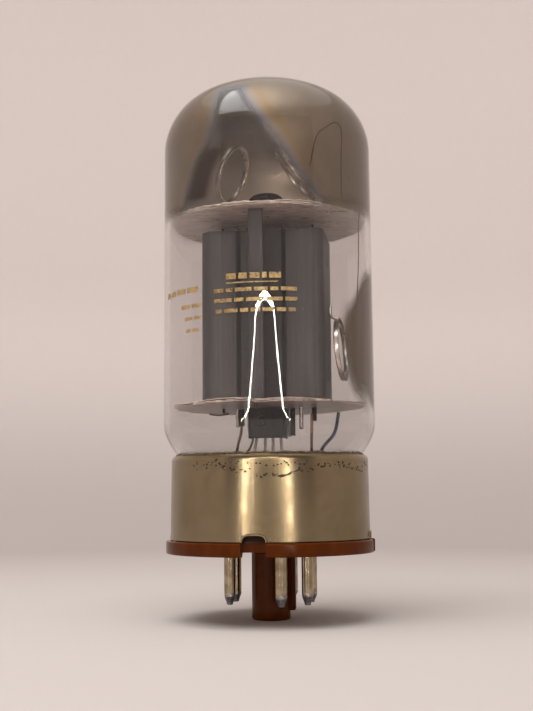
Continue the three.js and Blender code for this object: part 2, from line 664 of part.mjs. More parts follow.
/** Where a stem lead leaves the glass. */
function stemLead(angle, height = STEM_TOP + 0.5 + GAP) {
  return around(angle, STEM_LEAD_CIRCLE, height);
}

const stemRise = 14;
const heaterLeads = {
  heater_lead_2: { angle: STEM_LEADS[2], end: [[1.6, 3.4, 15.8], [0.4, 2.4, 17]] },
  heater_lead_7: { angle: STEM_LEADS[7], end: [[1.8, -4, 15.8], [0.4, -2.8, 17]] },
};
for (const [name, { angle, end }] of Object.entries(heaterLeads)) {
  piece(name, wire([stemLead(angle), stemLead(angle, stemRise), ...end]), 'nickel');
}
const controlRoute = [[-8.2, -4.4, 16], [-4.7, -1.6, 20.6], [-3.5, -0.8, 23.4], [-3.6, -0.75, 25.2]];
const screenRoute = [[-8.2, 3.4, 16], [-7.2, 1.4, 22], [-6.3, 1.1, 25.6], [-6.2, 1, 28.8]];
const cathodeRoute = [[9.2, -3.2, 18], [9.1, -1.6, 24], [9.2, -1.4, 28.6]];
piece('control_grid_lead', wire([stemLead(STEM_LEADS[5]), ...controlRoute], 0.25), 'copper');
piece('screen_grid_lead', wire([stemLead(STEM_LEADS[4]), ...screenRoute], 0.4), 'dark_nickel');
piece('cathode_lead', wire([stemLead(STEM_LEADS[8]), ...cathodeRoute], 0.3), 'copper');

/** The anode's lead, a flat blued strap from its right side down to the stem. */
function anodeLead() {
  const foot = stemLead(STEM_LEADS[3]);
  const points = [foot, [9.3, 4.6, 16.5], [10.6, 5.2, 21.6], [13.2, 6.2, 25.2], [14.2, 6.6, 29.3]];
  return wire(points, 0.38);
}
piece('anode_lead', anodeLead(), 'blued_strap');

// ---------------------------------------------------------------------------------------------------
// Getters
// ---------------------------------------------------------------------------------------------------

/** A ring about its own Z axis. */
function getterRing() {
  const section = arc(GETTER_RADIUS, 0, GETTER_SECTION, 0, 360, 6);
  return turned(section, 24);
}

for (const [hand, { centre, facing }] of Object.entries(TOP_GETTERS)) {
  const ring = piece(`getter_ring_${hand}`, getterRing(), 'nickel');
  const normal = new THREE.Vector3(...facing).normalize();
  ring.position.set(...centre);
  ring.quaternion.setFromUnitVectors(new THREE.Vector3(0, 0, 1), normal);
  const down = new THREE.Vector3(0, 0, -1).addScaledVector(normal, normal.z).normalize();
  const foot = down.multiplyScalar(GETTER_RADIUS + GETTER_SECTION + GAP + STALK_RADIUS).add(ring.position);
  const base = TOP_MICA.underside + MICA_THICKNESS + TAB_RISE + GAP;
  const stalk = wire([[foot.x, foot.y, base], [foot.x, foot.y, foot.z - 0.4]], STALK_RADIUS);
  piece(`getter_stalk_${hand}`, stalk, 'nickel');
}

const sideRing = piece('getter_ring_side', getterRing(), 'nickel');
sideRing.position.set(SIDE_GETTER.x, 0, SIDE_GETTER.height);
sideRing.quaternion.setFromUnitVectors(
  new THREE.Vector3(0, 0, 1), new THREE.Vector3(...SIDE_GETTER.facing).normalize(),
);
const sideTop = SIDE_GETTER.height + GETTER_RADIUS + GETTER_SECTION + GAP + STALK_RADIUS;
const anodeSide = ANODE_HALF_WIDTH + GAP + STALK_RADIUS;
const sideStalk = [
  [anodeSide, 0, sideTop + 3], [anodeSide, 0, sideTop + 0.8],
  [anodeSide + 0.7, 0, sideTop], [SIDE_GETTER.x - 0.2, 0, sideTop],
];
piece('getter_stalk_side', wire(sideStalk, STALK_RADIUS, 8), 'nickel');

export default tube;
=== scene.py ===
"""The looks of a large octal-base beam power tube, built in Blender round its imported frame.

Lengths are in millimetres until a mesh is made. +Z runs up the tube's axis from the seating plane, the
underside of the base rim. An angle is measured round the axis from -Y, the front fin's side, towards +X,
the locating key's side.
"""

import logging
import math
from collections.abc import Callable, Sequence
from dataclasses import dataclass, field
from enum import Enum

import bpy
import numpy as np
from mathutils import Matrix, Vector


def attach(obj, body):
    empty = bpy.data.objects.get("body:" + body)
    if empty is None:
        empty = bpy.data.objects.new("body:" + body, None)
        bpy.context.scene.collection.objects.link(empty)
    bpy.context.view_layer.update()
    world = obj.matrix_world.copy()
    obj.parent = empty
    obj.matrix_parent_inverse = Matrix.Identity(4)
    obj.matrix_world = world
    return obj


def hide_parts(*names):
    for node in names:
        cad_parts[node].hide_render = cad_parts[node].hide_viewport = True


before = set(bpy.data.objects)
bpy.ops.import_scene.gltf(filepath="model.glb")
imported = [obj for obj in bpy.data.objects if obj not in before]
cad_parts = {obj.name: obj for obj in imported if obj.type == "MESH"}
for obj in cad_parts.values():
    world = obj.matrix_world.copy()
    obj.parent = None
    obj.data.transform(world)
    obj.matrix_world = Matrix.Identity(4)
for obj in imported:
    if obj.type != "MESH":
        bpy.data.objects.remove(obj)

log = logging.getLogger("tube")
Array = np.ndarray
Colour = tuple[float, float, float]

MM = 0.001
BODY = "root"


# ------------------------------------------------------------------------------------------------
# Surfaces
# ------------------------------------------------------------------------------------------------


@dataclass
class Shape:
    """A surface: its corners in millimetres, and its faces as arrays of corner numbers."""

    corners: Array
    faces: list[Array]

    def __add__(self, other: "Shape") -> "Shape":
        """Both surfaces as one."""
        moved = [f + len(self.corners) for f in other.faces]
        return Shape(np.vstack([self.corners, other.corners]), self.faces + moved)

    def placed(self, matrix: Matrix) -> "Shape":
        """The surface carried by a turn and a move.

        Args:
            matrix: a 4 by 4 matrix, its move in millimetres.

        Returns:
            The carried surface.
        """
        m = np.array(matrix, float)
        return Shape(self.corners @ m[:3, :3].T + m[:3, 3], self.faces)

    def outward(self) -> "Shape":
        """The surface with its faces turned out, by the sign of the volume that its fans enclose."""
        volume = 0.0
        for f in self.faces:
            a = self.corners[f[:, 0]]
            for k in range(1, f.shape[1] - 1):
                b, c = self.corners[f[:, k]], self.corners[f[:, k + 1]]
                volume += np.einsum("ij,ij->i", a, np.cross(b, c)).sum()
        if volume >= 0:
            return self
        return Shape(self.corners, [f[:, ::-1] for f in self.faces])


def grid_faces(rows: int, columns: int, wrap_rows: bool, wrap_columns: bool) -> Array:
    """Four-sided faces of a grid of corners that is numbered row by row.

    Args:
        rows: number of rows of corners.
        columns: corners in a row.
        wrap_rows: whether the last row joins the first.
        wrap_columns: whether the last column joins the first.

    Returns:
        An array of faces with four corner numbers each.
    """
    i = np.arange(rows if wrap_rows else rows - 1)[:, None]
    j = np.arange(columns if wrap_columns else columns - 1)[None, :]
    below, above = i * columns, (i + 1) % rows * columns
    left, right = j, (j + 1) % columns
    return np.stack([below + left, below + right, above + right, above + left], -1).reshape(-1, 4)


def polar(radius: Array, angle: Array, height: Array) -> Array:
    """Points from radius, angle in degrees from -Y towards +X, and height."""
    turn = np.radians(angle)
    return np.stack(np.broadcast_arrays(radius * np.sin(turn), -radius * np.cos(turn), height), -1)


def revolve(
    profile: Array,
    angles: Array | int = 128,
    closed: bool = False,
    bend: Callable[[Array, Array, Array], tuple[Array, Array]] | None = None,
) -> Shape:
    """A profile carried round the Z axis: point (r, z) goes to (r sin a, -r cos a, z) at every angle a.

    Args:
        profile: (radius, height) points. A first or last point on the axis becomes one pole.
        angles: the angles in degrees, or how many even ones.
        closed: whether the profile's end joins its start.
        bend: turns the grids of radius, angle and height into new radii and heights.

    Returns:
        The closed surface, its faces out.
    """
    turn = np.linspace(0, 360, angles, endpoint=False) if isinstance(angles, int) else angles
    r, a = np.meshgrid(profile[:, 0], turn, indexing="ij")
    z = np.repeat(profile[:, 1:2], len(turn), 1)
    if bend is not None:
        r, z = bend(r, a, z)
    points = polar(r, a, z)
    first_pole = not closed and profile[0, 0] == 0
    last_pole = not closed and profile[-1, 0] == 0
    start, stop = int(first_pole), len(profile) - int(last_pole)
    rings = points[start:stop]
    columns = len(turn)
    faces = [grid_faces(len(rings), columns, closed, True)]
    corners = [rings.reshape(-1, 3)]
    count = rings.shape[0] * columns
    j = np.arange(columns)
    following = (j + 1) % columns
    if first_pole:
        corners.append(points[0].mean(0)[None])
        faces.append(np.stack([np.full(columns, count), following, j], -1))
        count += 1
    if last_pole:
        corners.append(points[-1].mean(0)[None])
        base = (len(rings) - 1) * columns
        faces.append(np.stack([np.full(columns, count), base + j, base + following], -1))
    return Shape(np.vstack(corners), faces).outward()


def arc(x: float, z: float, radius: float, start: float, stop: float, count: int) -> Array:
    """Points of a circle's arc about (x, z), between two angles in degrees from the x direction."""
    turn = np.radians(np.linspace(start, stop, count))
    return np.stack([x + radius * np.cos(turn), z + radius * np.sin(turn)], -1)


def through(points: Sequence[Sequence[float]], count: int) -> Array:
    """Samples of the Catmull-Rom curve through some points: cubic pieces whose slope at each point is
    half the step from the point before to the point after.

    Args:
        points: the points, two or more.
        count: how many samples.

    Returns:
        An array of points.
    """
    p = np.asarray(points, float)
    p = np.vstack([2 * p[0] - p[1], p, 2 * p[-1] - p[-2]])
    t = np.linspace(0, len(p) - 3, count)
    i = np.minimum(t.astype(int), len(p) - 4)
    s = (t - i)[:, None]
    a, b, c, d = p[i], p[i + 1], p[i + 2], p[i + 3]
    return 0.5 * (2 * b + (c - a) * s + (2 * a - 5 * b + 4 * c - d) * s**2 + (3 * b - a - 3 * c + d) * s**3)


def rounded(corners: Sequence[tuple[float, float, float]], steps: int = 6) -> Array:
    """A run of straight lines whose corners are turned as circular arcs.

    Args:
        corners: (x, y, fillet radius) of each corner. The two ends have no fillet.
        steps: how many pieces each arc has.

    Returns:
        An array of (x, y) points.
    """
    run = [np.array(corners[0][:2], float)]
    for before, here, after in zip(corners, corners[1:], corners[2:]):
        p, radius = np.array(here[:2], float), here[2]
        back = np.array(before[:2]) - p
        ahead = np.array(after[:2]) - p
        back, ahead = back / np.linalg.norm(back), ahead / np.linalg.norm(ahead)
        half = math.acos(max(-1.0, min(1.0, float(back @ ahead)))) / 2
        middle = (back + ahead) / np.linalg.norm(back + ahead)
        centre = p + middle * radius / math.sin(half)
        sweep_half = math.pi / 2 - half
        side = np.array([-middle[1], middle[0]])
        side = side * np.sign(side @ back)
        turn = np.linspace(sweep_half, -sweep_half, steps + 1)[:, None]
        run.extend(centre - radius * (np.cos(turn) * middle - np.sin(turn) * side))
    run.append(np.array(corners[-1][:2], float))
    return np.array(run)


def spaced(run: Array, step: float) -> Array:
    """A run of points with extra ones, so that no gap along it is longer than step."""
    pieces = [run[:1]]
    for a, b in zip(run, run[1:]):
        count = max(1, math.ceil(np.linalg.norm(b - a) / step))
        pieces.append(a + (b - a) * np.linspace(0, 1, count + 1)[1:, None])
    return np.vstack(pieces)


def sweep(path: Array, section: Array, swell: Array | None = None) -> Shape:
    """A flat section carried along a path: each section point goes to path + s1 * normal + s2 * binormal.
    The normal is across both the path and the direction that the path runs along least.

    Args:
        path: the points of the path.
        section: the closed section's (s1, s2) points.
        swell: how many times its size the section has at each path point.

    Returns:
        The closed surface with flat ends.
    """
    tangent = np.gradient(path, axis=0)
    tangent /= np.linalg.norm(tangent, axis=1)[:, None]
    guide = np.linalg.svd(tangent, full_matrices=True)[2][-1]
    normal = np.cross(np.broadcast_to(guide, tangent.shape), tangent)
    normal /= np.linalg.norm(normal, axis=1)[:, None]
    binormal = np.cross(tangent, normal)
    size = np.ones(len(path)) if swell is None else swell
    scaled = section[None] * size[:, None, None]
    rings = path[:, None] + scaled[..., :1] * normal[:, None] + scaled[..., 1:] * binormal[:, None]
    columns = len(section)
    faces = [grid_faces(len(path), columns, False, True)]
    j = np.arange(columns)
    count = len(path) * columns
    last = (len(path) - 1) * columns
    faces.append(np.stack([np.full(columns, count), (j + 1) % columns, j], -1))
    faces.append(np.stack([np.full(columns, count + 1), last + j, last + (j + 1) % columns], -1))
    corners = np.vstack([rings.reshape(-1, 3), path[:1], path[-1:]])
    return Shape(corners, faces).outward()


def circle(radius: float, sides: int = 14) -> Array:
    """The corners of a round section."""
    turn = np.linspace(0, 2 * np.pi, sides, endpoint=False)
    return radius * np.stack([np.cos(turn), np.sin(turn)], -1)


def rod(points: Sequence[Sequence[float]] | Array, radius: float, count: int = 2, sides: int = 14) -> Shape:
    """A round wire with softly rounded ends: near an end the radius is that of a circle's quarter.

    Args:
        points: the points that it runs through.
        radius: the wire's radius.
        count: samples along the curve.
        sides: corners of the section.

    Returns:
        The closed surface.
    """
    path = through(points, count) if count > 2 else np.asarray(points, float)
    turn = np.radians([8, 30, 60])[:, None]
    head = path[0] - path[1]
    tail = path[-1] - path[-2]
    head, tail = head / np.linalg.norm(head), tail / np.linalg.norm(tail)
    round_length = 0.5 * radius
    front = path[0] - head * round_length * (1 - np.cos(turn))
    back = path[-1] - tail * round_length * (1 - np.cos(turn[::-1]))
    full = np.vstack([front, path[0] - head * round_length, path[1:-1], path[-1] - tail * round_length, back])
    ends = np.sin(np.radians([30, 50, 70]))
    swell = np.concatenate([ends, np.ones(len(path)), ends[::-1]])
    return sweep(full, circle(radius, sides), swell)


def sheet(points: Array, keep: Array | None = None) -> Shape:
    """A single layer through a grid of points, with the unwanted cells and loose corners left out.

    Args:
        points: the grid of points, rows by columns by three.
        keep: for each cell, whether it is there.

    Returns:
        The open surface, to be given a thickness.
    """
    rows, columns = points.shape[:2]
    faces = grid_faces(rows, columns, False, False)
    if keep is not None:
        faces = faces[keep.reshape(-1)]
    used, renumbered = np.unique(faces, return_inverse=True)
    return Shape(points.reshape(-1, 3)[used], [renumbered.reshape(faces.shape)])


def raise_section(run: Array, heights: Array) -> Array:
    """The grid of points of a flat run of (x, y) points that is repeated at each height."""
    x = np.repeat(run[None, :, :], len(heights), 0)
    z = np.repeat(heights[:, None], len(run), 1)
    return np.concatenate([x, z[..., None]], -1)


def levels(stops: Sequence[float], step: float) -> Array:
    """Heights through some stops, about a step apart."""
    return spaced(np.array(stops)[:, None], step)[:, 0]


def joined(shapes: Sequence[Shape]) -> Shape:
    """Several shapes as one, in their order."""
    total = shapes[0]
    for shape in shapes[1:]:
        total = total + shape
    return total


def towards(direction: Sequence[float], centre: Sequence[float]) -> Matrix:
    """The matrix that turns +Z to a direction and moves the origin to a centre."""
    turn = Vector(direction).normalized().to_track_quat("Z", "Y").to_matrix().to_4x4()
    return Matrix.Translation(Vector(centre)) @ turn


def ease(value: Array, low: float, high: float) -> Array:
    """A smooth step from 0 at low to 1 at high."""
    t = np.clip((value - low) / (high - low), 0, 1)
    return t * t * (3 - 2 * t)


def wobble(a: Array, b: Array, seed: int, waves: int = 9) -> Array:
    """A smooth random field over two coordinates, from -1 to 1: a sum of sine waves whose directions
    and phases come from the seed.
    """
    draw = np.random.default_rng(seed)
    total = np.zeros(np.broadcast(a, b).shape)
    for _ in range(waves):
        ka, kb = draw.uniform(0.4, 1.6, 2) * draw.choice([-1, 1], 2)
        total = total + np.sin(ka * a + kb * b + draw.uniform(0, 2 * np.pi))
    return total / waves**0.5 / 1.5


# ------------------------------------------------------------------------------------------------
# Shader expressions
# ------------------------------------------------------------------------------------------------


class Value:
    """A node's output that Python arithmetic adds Math nodes to."""

    def __init__(self, shader: "Shader", socket: bpy.types.NodeSocket) -> None:
        """Wraps an output socket of a shader's tree."""
        self.shader = shader
        self.socket = socket

    def math(self, operation: str, *others: "Value | float") -> "Value":
        """A Math node of this value and others."""
        node = self.shader.node("ShaderNodeMath", {"operation": operation}, dict(enumerate([self, *others])))
        return Value(self.shader, node.outputs[0])

    def _after(self, operation: str, other: "Value | float") -> "Value":
        """A Math node with this value in the second place."""
        node = self.shader.node("ShaderNodeMath", {"operation": operation}, {0: other, 1: self})
        return Value(self.shader, node.outputs[0])

    def __add__(self, other: "Value | float") -> "Value":
        """self + other"""
        return self.math("ADD", other)

    __radd__ = __add__

    def __sub__(self, other: "Value | float") -> "Value":
        """self - other"""
        return self.math("SUBTRACT", other)

    def __rsub__(self, other: "Value | float") -> "Value":
        """other - self"""
        return self._after("SUBTRACT", other)

    def __mul__(self, other: "Value | float") -> "Value":
        """self * other"""
        return self.math("MULTIPLY", other)

    __rmul__ = __mul__

    def __abs__(self) -> "Value":
        """The size of the value."""
        return self.math("ABSOLUTE")

    def power(self, exponent: float) -> "Value":
        """self to an exponent"""
        return self.math("POWER", exponent)

    def larger(self, other: "Value | float") -> "Value":
        """The larger of two."""
        return self.math("MAXIMUM", other)

    def step(self, low: float, high: float) -> "Value":
        """A smooth step from 0 at low to 1 at high, or the other way round where high is less."""
        start, stop, first, last = (low, high, 0.0, 1.0) if low < high else (high, low, 1.0, 0.0)
        inputs = {"Value": self, "From Min": start, "From Max": stop, "To Min": first, "To Max": last}
        node = self.shader.node("ShaderNodeMapRange", {"interpolation_type": "SMOOTHSTEP"}, inputs)
        return Value(self.shader, node.outputs[0])


class Shader:
    """A node material under construction, with its coordinates in millimetres."""

    def __init__(self, name: str) -> None:
        """Starts an empty material of that name."""
        self.material = bpy.data.materials.new(name)
        self.material.use_nodes = True
        self.tree = self.material.node_tree
        self.tree.nodes.clear()
        place = self.node("ShaderNodeTexCoord").outputs["Object"]
        self.place = self.scaled(place, (1 / MM,) * 3)
        split = self.node("ShaderNodeSeparateXYZ", inputs={0: self.place})
        self.x, self.y, self.z = (Value(self, s) for s in split.outputs)

    def node(self, kind: str, settings: dict | None = None, inputs: dict | None = None) -> bpy.types.Node:
        """Adds a node.

        Args:
            kind: the node's type.
            settings: its own settings, such as a Math node's operation.
            inputs: for each socket name or number, a value or what to link.

        Returns:
            The node.
        """
        made = self.tree.nodes.new(kind)
        for key, setting in (settings or {}).items():
            setattr(made, key, setting)
        for key, value in (inputs or {}).items():
            self.feed(made.inputs[key], value)
        return made

    def feed(self, socket: bpy.types.NodeSocket, value: object) -> None:
        """Links a value or an output to a socket, or sets a plain number or colour on it."""
        if isinstance(value, Value):
            self.tree.links.new(value.socket, socket)
        elif isinstance(value, bpy.types.NodeSocket):
            self.tree.links.new(value, socket)
        elif isinstance(value, tuple) and socket.type == "RGBA":
            socket.default_value = (*value, 1)
        else:
            socket.default_value = value

    def scaled(self, vector: bpy.types.NodeSocket, factors: Colour) -> bpy.types.NodeSocket:
        """A vector with each part multiplied by its own factor."""
        node = self.node("ShaderNodeVectorMath", {"operation": "MULTIPLY"}, {0: vector, 1: factors})
        return node.outputs[0]

    def noise(
        self, size: float, detail: float = 3.0, stretch: Colour = (1, 1, 1), warp: float = 0.0
    ) -> Value:
        """Noise from 0 to 1.

        Args:
            size: how many millimetres a lump is across.
            detail: how many finer layers it has.
            stretch: how many times longer a lump is along each axis.
            warp: how far it is distorted.

        Returns:
            The noise's value.
        """
        place = self.scaled(self.place, tuple(1 / s for s in stretch))
        inputs = {"Vector": place, "Scale": 1 / size, "Detail": detail, "Distortion": warp}
        return Value(self, self.node("ShaderNodeTexNoise", inputs=inputs).outputs[0])

    def cells(self, size: float, stretch: Colour = (1, 1, 1)) -> Value:
        """The distance to the nearest of scattered points, in shares of their spacing."""
        place = self.scaled(self.place, tuple(1 / s for s in stretch))
        inputs = {"Vector": place, "Scale": 1 / size}
        return Value(self, self.node("ShaderNodeTexVoronoi", inputs=inputs).outputs["Distance"])

    def blend(self, share: Value | float, first: object, second: object) -> bpy.types.NodeSocket:
        """A colour between two, by a share from 0 to 1."""
        node = self.node("ShaderNodeMix", {"data_type": "RGBA"}, {0: share, 6: first, 7: second})
        return node.outputs[2]

    def bump(self, height: Value, depth: float) -> bpy.types.NodeSocket:
        """A surface normal tilted by a height from 0 to 1 that is depth millimetres tall."""
        inputs = {"Height": height, "Distance": depth * MM}
        return self.node("ShaderNodeBump", inputs=inputs).outputs[0]

    def principled(self, **inputs: object) -> bpy.types.NodeSocket:
        """A Principled shader; an input's name has underscores for spaces."""
        named = {key.replace("_", " "): value for key, value in inputs.items()}
        return self.node("ShaderNodeBsdfPrincipled", inputs=named).outputs[0]

    def mixed(self, share: Value | float, first: object, second: object) -> bpy.types.NodeSocket:
        """A shader between two, by a share from 0 to 1."""
        return self.node("ShaderNodeMixShader", inputs={0: share, 1: first, 2: second}).outputs[0]

    def clear(self, tint: object = (1.0, 1.0, 1.0)) -> bpy.types.NodeSocket:
        """A shader that lets everything through, tinted."""
        return self.node("ShaderNodeBsdfTransparent", inputs={0: tint}).outputs[0]

    def done(self, surface: bpy.types.NodeSocket) -> bpy.types.Material:
        """Links the surface to the output and returns the material."""
        self.node("ShaderNodeOutputMaterial", inputs={0: surface})
        return self.material

    def attribute(self, name: str) -> Value:
        """A number that the piece's own corners carry."""
        node = self.node("ShaderNodeAttribute", {"attribute_name": name})
        return Value(self, node.outputs["Fac"])


# ------------------------------------------------------------------------------------------------
# Finishes
# ------------------------------------------------------------------------------------------------


class Slot(Enum):
    """The record's material slots."""

    GLASS = "glass"
    NICKEL_PLATE = "nickel_plate"
    PHENOLIC = "phenolic"
    CEMENT = "cement"
    PIN_METAL = "pin_metal"
    COPPER = "copper"
    MICA = "mica"
    ANODE_COAT = "anode_coat"
    NICKEL = "nickel"
    DARK_NICKEL = "dark_nickel"
    GRID_WIRE = "grid_wire"
    CATHODE_COAT = "cathode_coat"
    HEATER_COAT = "heater_coat"
    BLUED_STRAP = "blued_strap"


@dataclass(frozen=True)
class Finish:
    """A named finish, made into a material the first time that it is asked for."""

    name: str

    def material(self) -> bpy.types.Material:
        """The finish's material."""
        title = f"{self.name}_finish"
        return bpy.data.materials.get(title) or self.build(Shader(title))

    def build(self, s: Shader) -> bpy.types.Material:
        """Fills the shader; every finish has its own."""
        raise NotImplementedError


@dataclass(frozen=True)
class ClearGlass(Finish):
    """Drawn lamp glass, whose faces ripple a little along the bulb, and which lets lamps through. Its grey
    tint is deeper than the glass's own: it paints shade over what is seen through the bulb.
    """

    name: str = "clear_glass"
    # partly the glass's own tint, mostly painted shade that darkens everything seen through the bulb
    tint: Colour = (0.81, 0.795, 0.79)
    index: float = 1.5
    ripple: float = 0.012

    def build(self, s: Shader) -> bpy.types.Material:
        """Refracting glass for sight, clear for lamp light."""
        ripple = s.bump(s.noise(5, 1, (1, 1, 7)), self.ripple)
        glass = s.principled(
            Base_Color=self.tint, Roughness=0.0, IOR=self.index, Transmission_Weight=1.0, Normal=ripple
        )
        lamp = s.node("ShaderNodeLightPath").outputs["Is Shadow Ray"]
        return s.done(s.mixed(lamp, glass, s.clear()))


@dataclass(frozen=True)
class FlashFilm(Finish):
    """The mirror that a getter leaves on the glass: grey-brown where it is thick, straw-coloured and
    then blue-grey where it thins out, and dark brown where it is stained. The piece's corners carry
    how much of each there is.
    """

    name: str = "flash_film"
    thick: Colour = (0.205, 0.153, 0.108)
    cloud: Colour = (0.25, 0.193, 0.14)
    straw: Colour = (0.18, 0.115, 0.04)
    slate: Colour = (0.115, 0.118, 0.138)
    stain: Colour = (0.03, 0.014, 0.005)
    rear: Colour = (0.62, 0.5, 0.39)

    def build(self, s: Shader) -> bpy.types.Material:
        """A satin mirror over a clear layer."""
        clouds = s.noise(9, 3, (1, 1, 2.2), 0.6).step(0.3, 0.75)
        colour = s.blend(clouds, self.thick, self.cloud)
        colour = s.blend(s.y.step(4, 15) * (1 - s.z.step(84, 92)) * 0.85, colour, self.rear)
        colour = s.blend(s.attribute("straw"), colour, self.straw)
        colour = s.blend(s.attribute("slate"), colour, self.slate)
        colour = s.blend(s.attribute("stain"), colour, self.stain)
        specks = 1 - s.cells(2.6).step(0.05, 0.09)
        colour = s.blend(specks * 0.7, colour, self.stain)
        grain = s.bump(s.noise(0.5, 2), 0.01)
        mirror = s.principled(Base_Color=colour, Metallic=0.75, Roughness=0.38, Normal=grain)
        return s.done(s.mixed(s.attribute("film"), s.clear(), mirror))


@dataclass(frozen=True)
class Metal(Finish):
    """Bare or plated metal: two tones in soft patches, fine drawing marks, and small pits.

    Fields:
        tone: its colour.
        dull: its colour where it has tarnished.
        rough: its roughness, from the brightest to the dullest patch.
        patch: how many millimetres a tarnished patch is across.
        marks: how many times longer than wide the marks are along each axis.
        depth: how deep the marks are, in millimetres.
    """

    tone: Colour = (0.5, 0.47, 0.43)
    dull: Colour = (0.3, 0.26, 0.22)
    rough: tuple[float, float] = (0.22, 0.4)
    patch: float = 3.0
    marks: Colour = (1, 1, 12)
    depth: float = 0.012

    def wear(self, s: Shader) -> tuple[bpy.types.NodeSocket, Value, bpy.types.NodeSocket]:
        """Colour, roughness and normal of the worn metal."""
        tarnish = s.noise(self.patch, 4, warp=0.5).step(0.35, 0.72)
        marks = s.noise(0.22, 3, self.marks)
        colour = s.blend(tarnish * 0.8 + marks * 0.15, self.tone, self.dull)
        low, high = self.rough
        rough = tarnish * (high - low) * 0.7 + marks * (high - low) * 0.6 + low
        return colour, rough, s.bump(marks + s.noise(0.8, 2) * 0.5, self.depth)

    def build(self, s: Shader) -> bpy.types.Material:
        """Worn metal all over."""
        colour, rough, normal = self.wear(s)
        return s.done(s.principled(Base_Color=colour, Metallic=1.0, Roughness=rough, Normal=normal))


@dataclass(frozen=True)
class SleeveNickel(Metal):
    """The base sleeve's dull nickel plate, with a crust of old cement in specks and a ragged line."""

    name: str = "sleeve_nickel"
    tone: Colour = (0.285, 0.225, 0.141)
    dull: Colour = (0.225, 0.172, 0.098)
    rough: tuple[float, float] = (0.18, 0.27)
    patch: float = 7.0
    marks: Colour = (1, 1, 5)
    depth: float = 0.006
    crust: Colour = (0.03, 0.017, 0.007)
    stained: Colour = (0.2, 0.15, 0.07)

    def build(self, s: Shader) -> bpy.types.Material:
        """Worn plate, and matt crust where the corners carry it and the cells fall."""
        colour, rough, normal = self.wear(s)
        crumbs = 1 - s.cells(0.62, (1.3, 1.3, 1)).step(0.22, 0.42)
        crust = (s.attribute("crust") * (crumbs * 0.8 + s.noise(0.8, 3) * 0.8)).step(0.24, 0.34)
        stain = s.attribute("crust") * s.noise(1.4, 3).step(0.4, 0.7) * 0.7
        colour = s.blend(stain, colour, self.stained)
        colour = s.blend(crust, colour, self.crust)
        surface = s.principled(
            Base_Color=colour, Metallic=1 - crust, Roughness=rough.larger(crust * 0.8), Normal=normal
        )
        return s.done(surface)


@dataclass(frozen=True)
class PinNickel(Metal):
    """A pin's nickel plate, with rough grey solder over its tip."""

    name: str = "pin_nickel"
    tone: Colour = (0.42, 0.35, 0.24)
    dull: Colour = (0.21, 0.155, 0.095)
    rough: tuple[float, float] = (0.1, 0.22)
    patch: float = 2.6
    marks: Colour = (1, 1, 14)
    depth: float = 0.0025
    solder: Colour = (0.2, 0.2, 0.21)
    solder_bright: Colour = (0.42, 0.4, 0.38)
    solder_top: float = -8.3

    def build(self, s: Shader) -> bpy.types.Material:
        """Worn plate above a ragged line, solder below it."""
        colour, rough, normal = self.wear(s)
        tip = (s.z + s.noise(0.9, 3) * 1.6).step(self.solder_top + 1.0, self.solder_top + 0.5)
        grains = s.noise(0.35, 4)
        grey = s.blend(grains.step(0.35, 0.65), self.solder, self.solder_bright)
        surface = s.principled(
            Base_Color=s.blend(tip, colour, grey),
            Metallic=1.0,
            Roughness=rough * (1 - tip) + (grains * 0.3 + 0.28) * tip,
            Normal=normal,
        )
        return s.done(surface)


@dataclass(frozen=True)
class Phenolic(Finish):
    """Brown moulded phenolic with faint flow marks; inside the sleeve it is duller and darkened by painted
    shade.
    """

    name: str = "brown_phenolic"
    light: Colour = (0.105, 0.0235, 0.0015)
    dark: Colour = (0.07, 0.0145, 0.001)
    filler: Colour = (0.04, 0.012, 0.002)
    # painted shade: the dark colour, and the heights over which it fades in, standing for the shadow inside
    # the sleeve
    painted_shade: Colour = (0.02, 0.014, 0.012)
    painted_shade_from: float = 2.7
    painted_shade_full: float = 3.1

    def build(self, s: Shader) -> bpy.types.Material:
        """Resin with flow marks, small dark filler specks, a soft gloss, and painted shade above the flange.
        """
        flow = s.noise(4, 4, (1, 1, 2), 0.8).step(0.25, 0.8)
        colour = s.blend(flow, self.dark, self.light)
        colour = s.blend(s.noise(0.3, 2).step(0.64, 0.74) * 0.3, colour, self.filler)
        # painted shade: darkens the collar above the flange, where the sleeve shadows it
        colour = s.blend(s.z.step(self.painted_shade_from, self.painted_shade_full) * 0.75, colour, self.painted_shade)
        rough = s.noise(1.5, 3) * 0.1 + 0.13 + s.z.step(self.painted_shade_from, self.painted_shade_full) * 0.5
        normal = s.bump(s.noise(0.9, 2), 0.003)
        return s.done(s.principled(
            Base_Color=colour, Roughness=rough, Specular_IOR_Level=0.09, Normal=normal
        ))


@dataclass(frozen=True)
class Grit(Finish):
    """A matt, grainy stuff: cement or a sprayed oxide coat.

    Fields:
        light, dark: the colours of its grains.
        grain: how many millimetres a grain is across.
        depth: how high the grains stand, in millimetres.
    """

    light: Colour = (0.2, 0.15, 0.09)
    dark: Colour = (0.08, 0.05, 0.025)
    grain: float = 0.5
    depth: float = 0.08

    def build(self, s: Shader) -> bpy.types.Material:
        """Grains of two colours and their relief."""
        grains = s.noise(self.grain, 4)
        colour = s.blend(grains.step(0.35, 0.65), self.dark, self.light)
        normal = s.bump(grains + s.cells(self.grain * 1.7), self.depth)
        rough = grains * 0.15 + 0.8
        return s.done(s.principled(Base_Color=colour, Roughness=rough, Normal=normal))


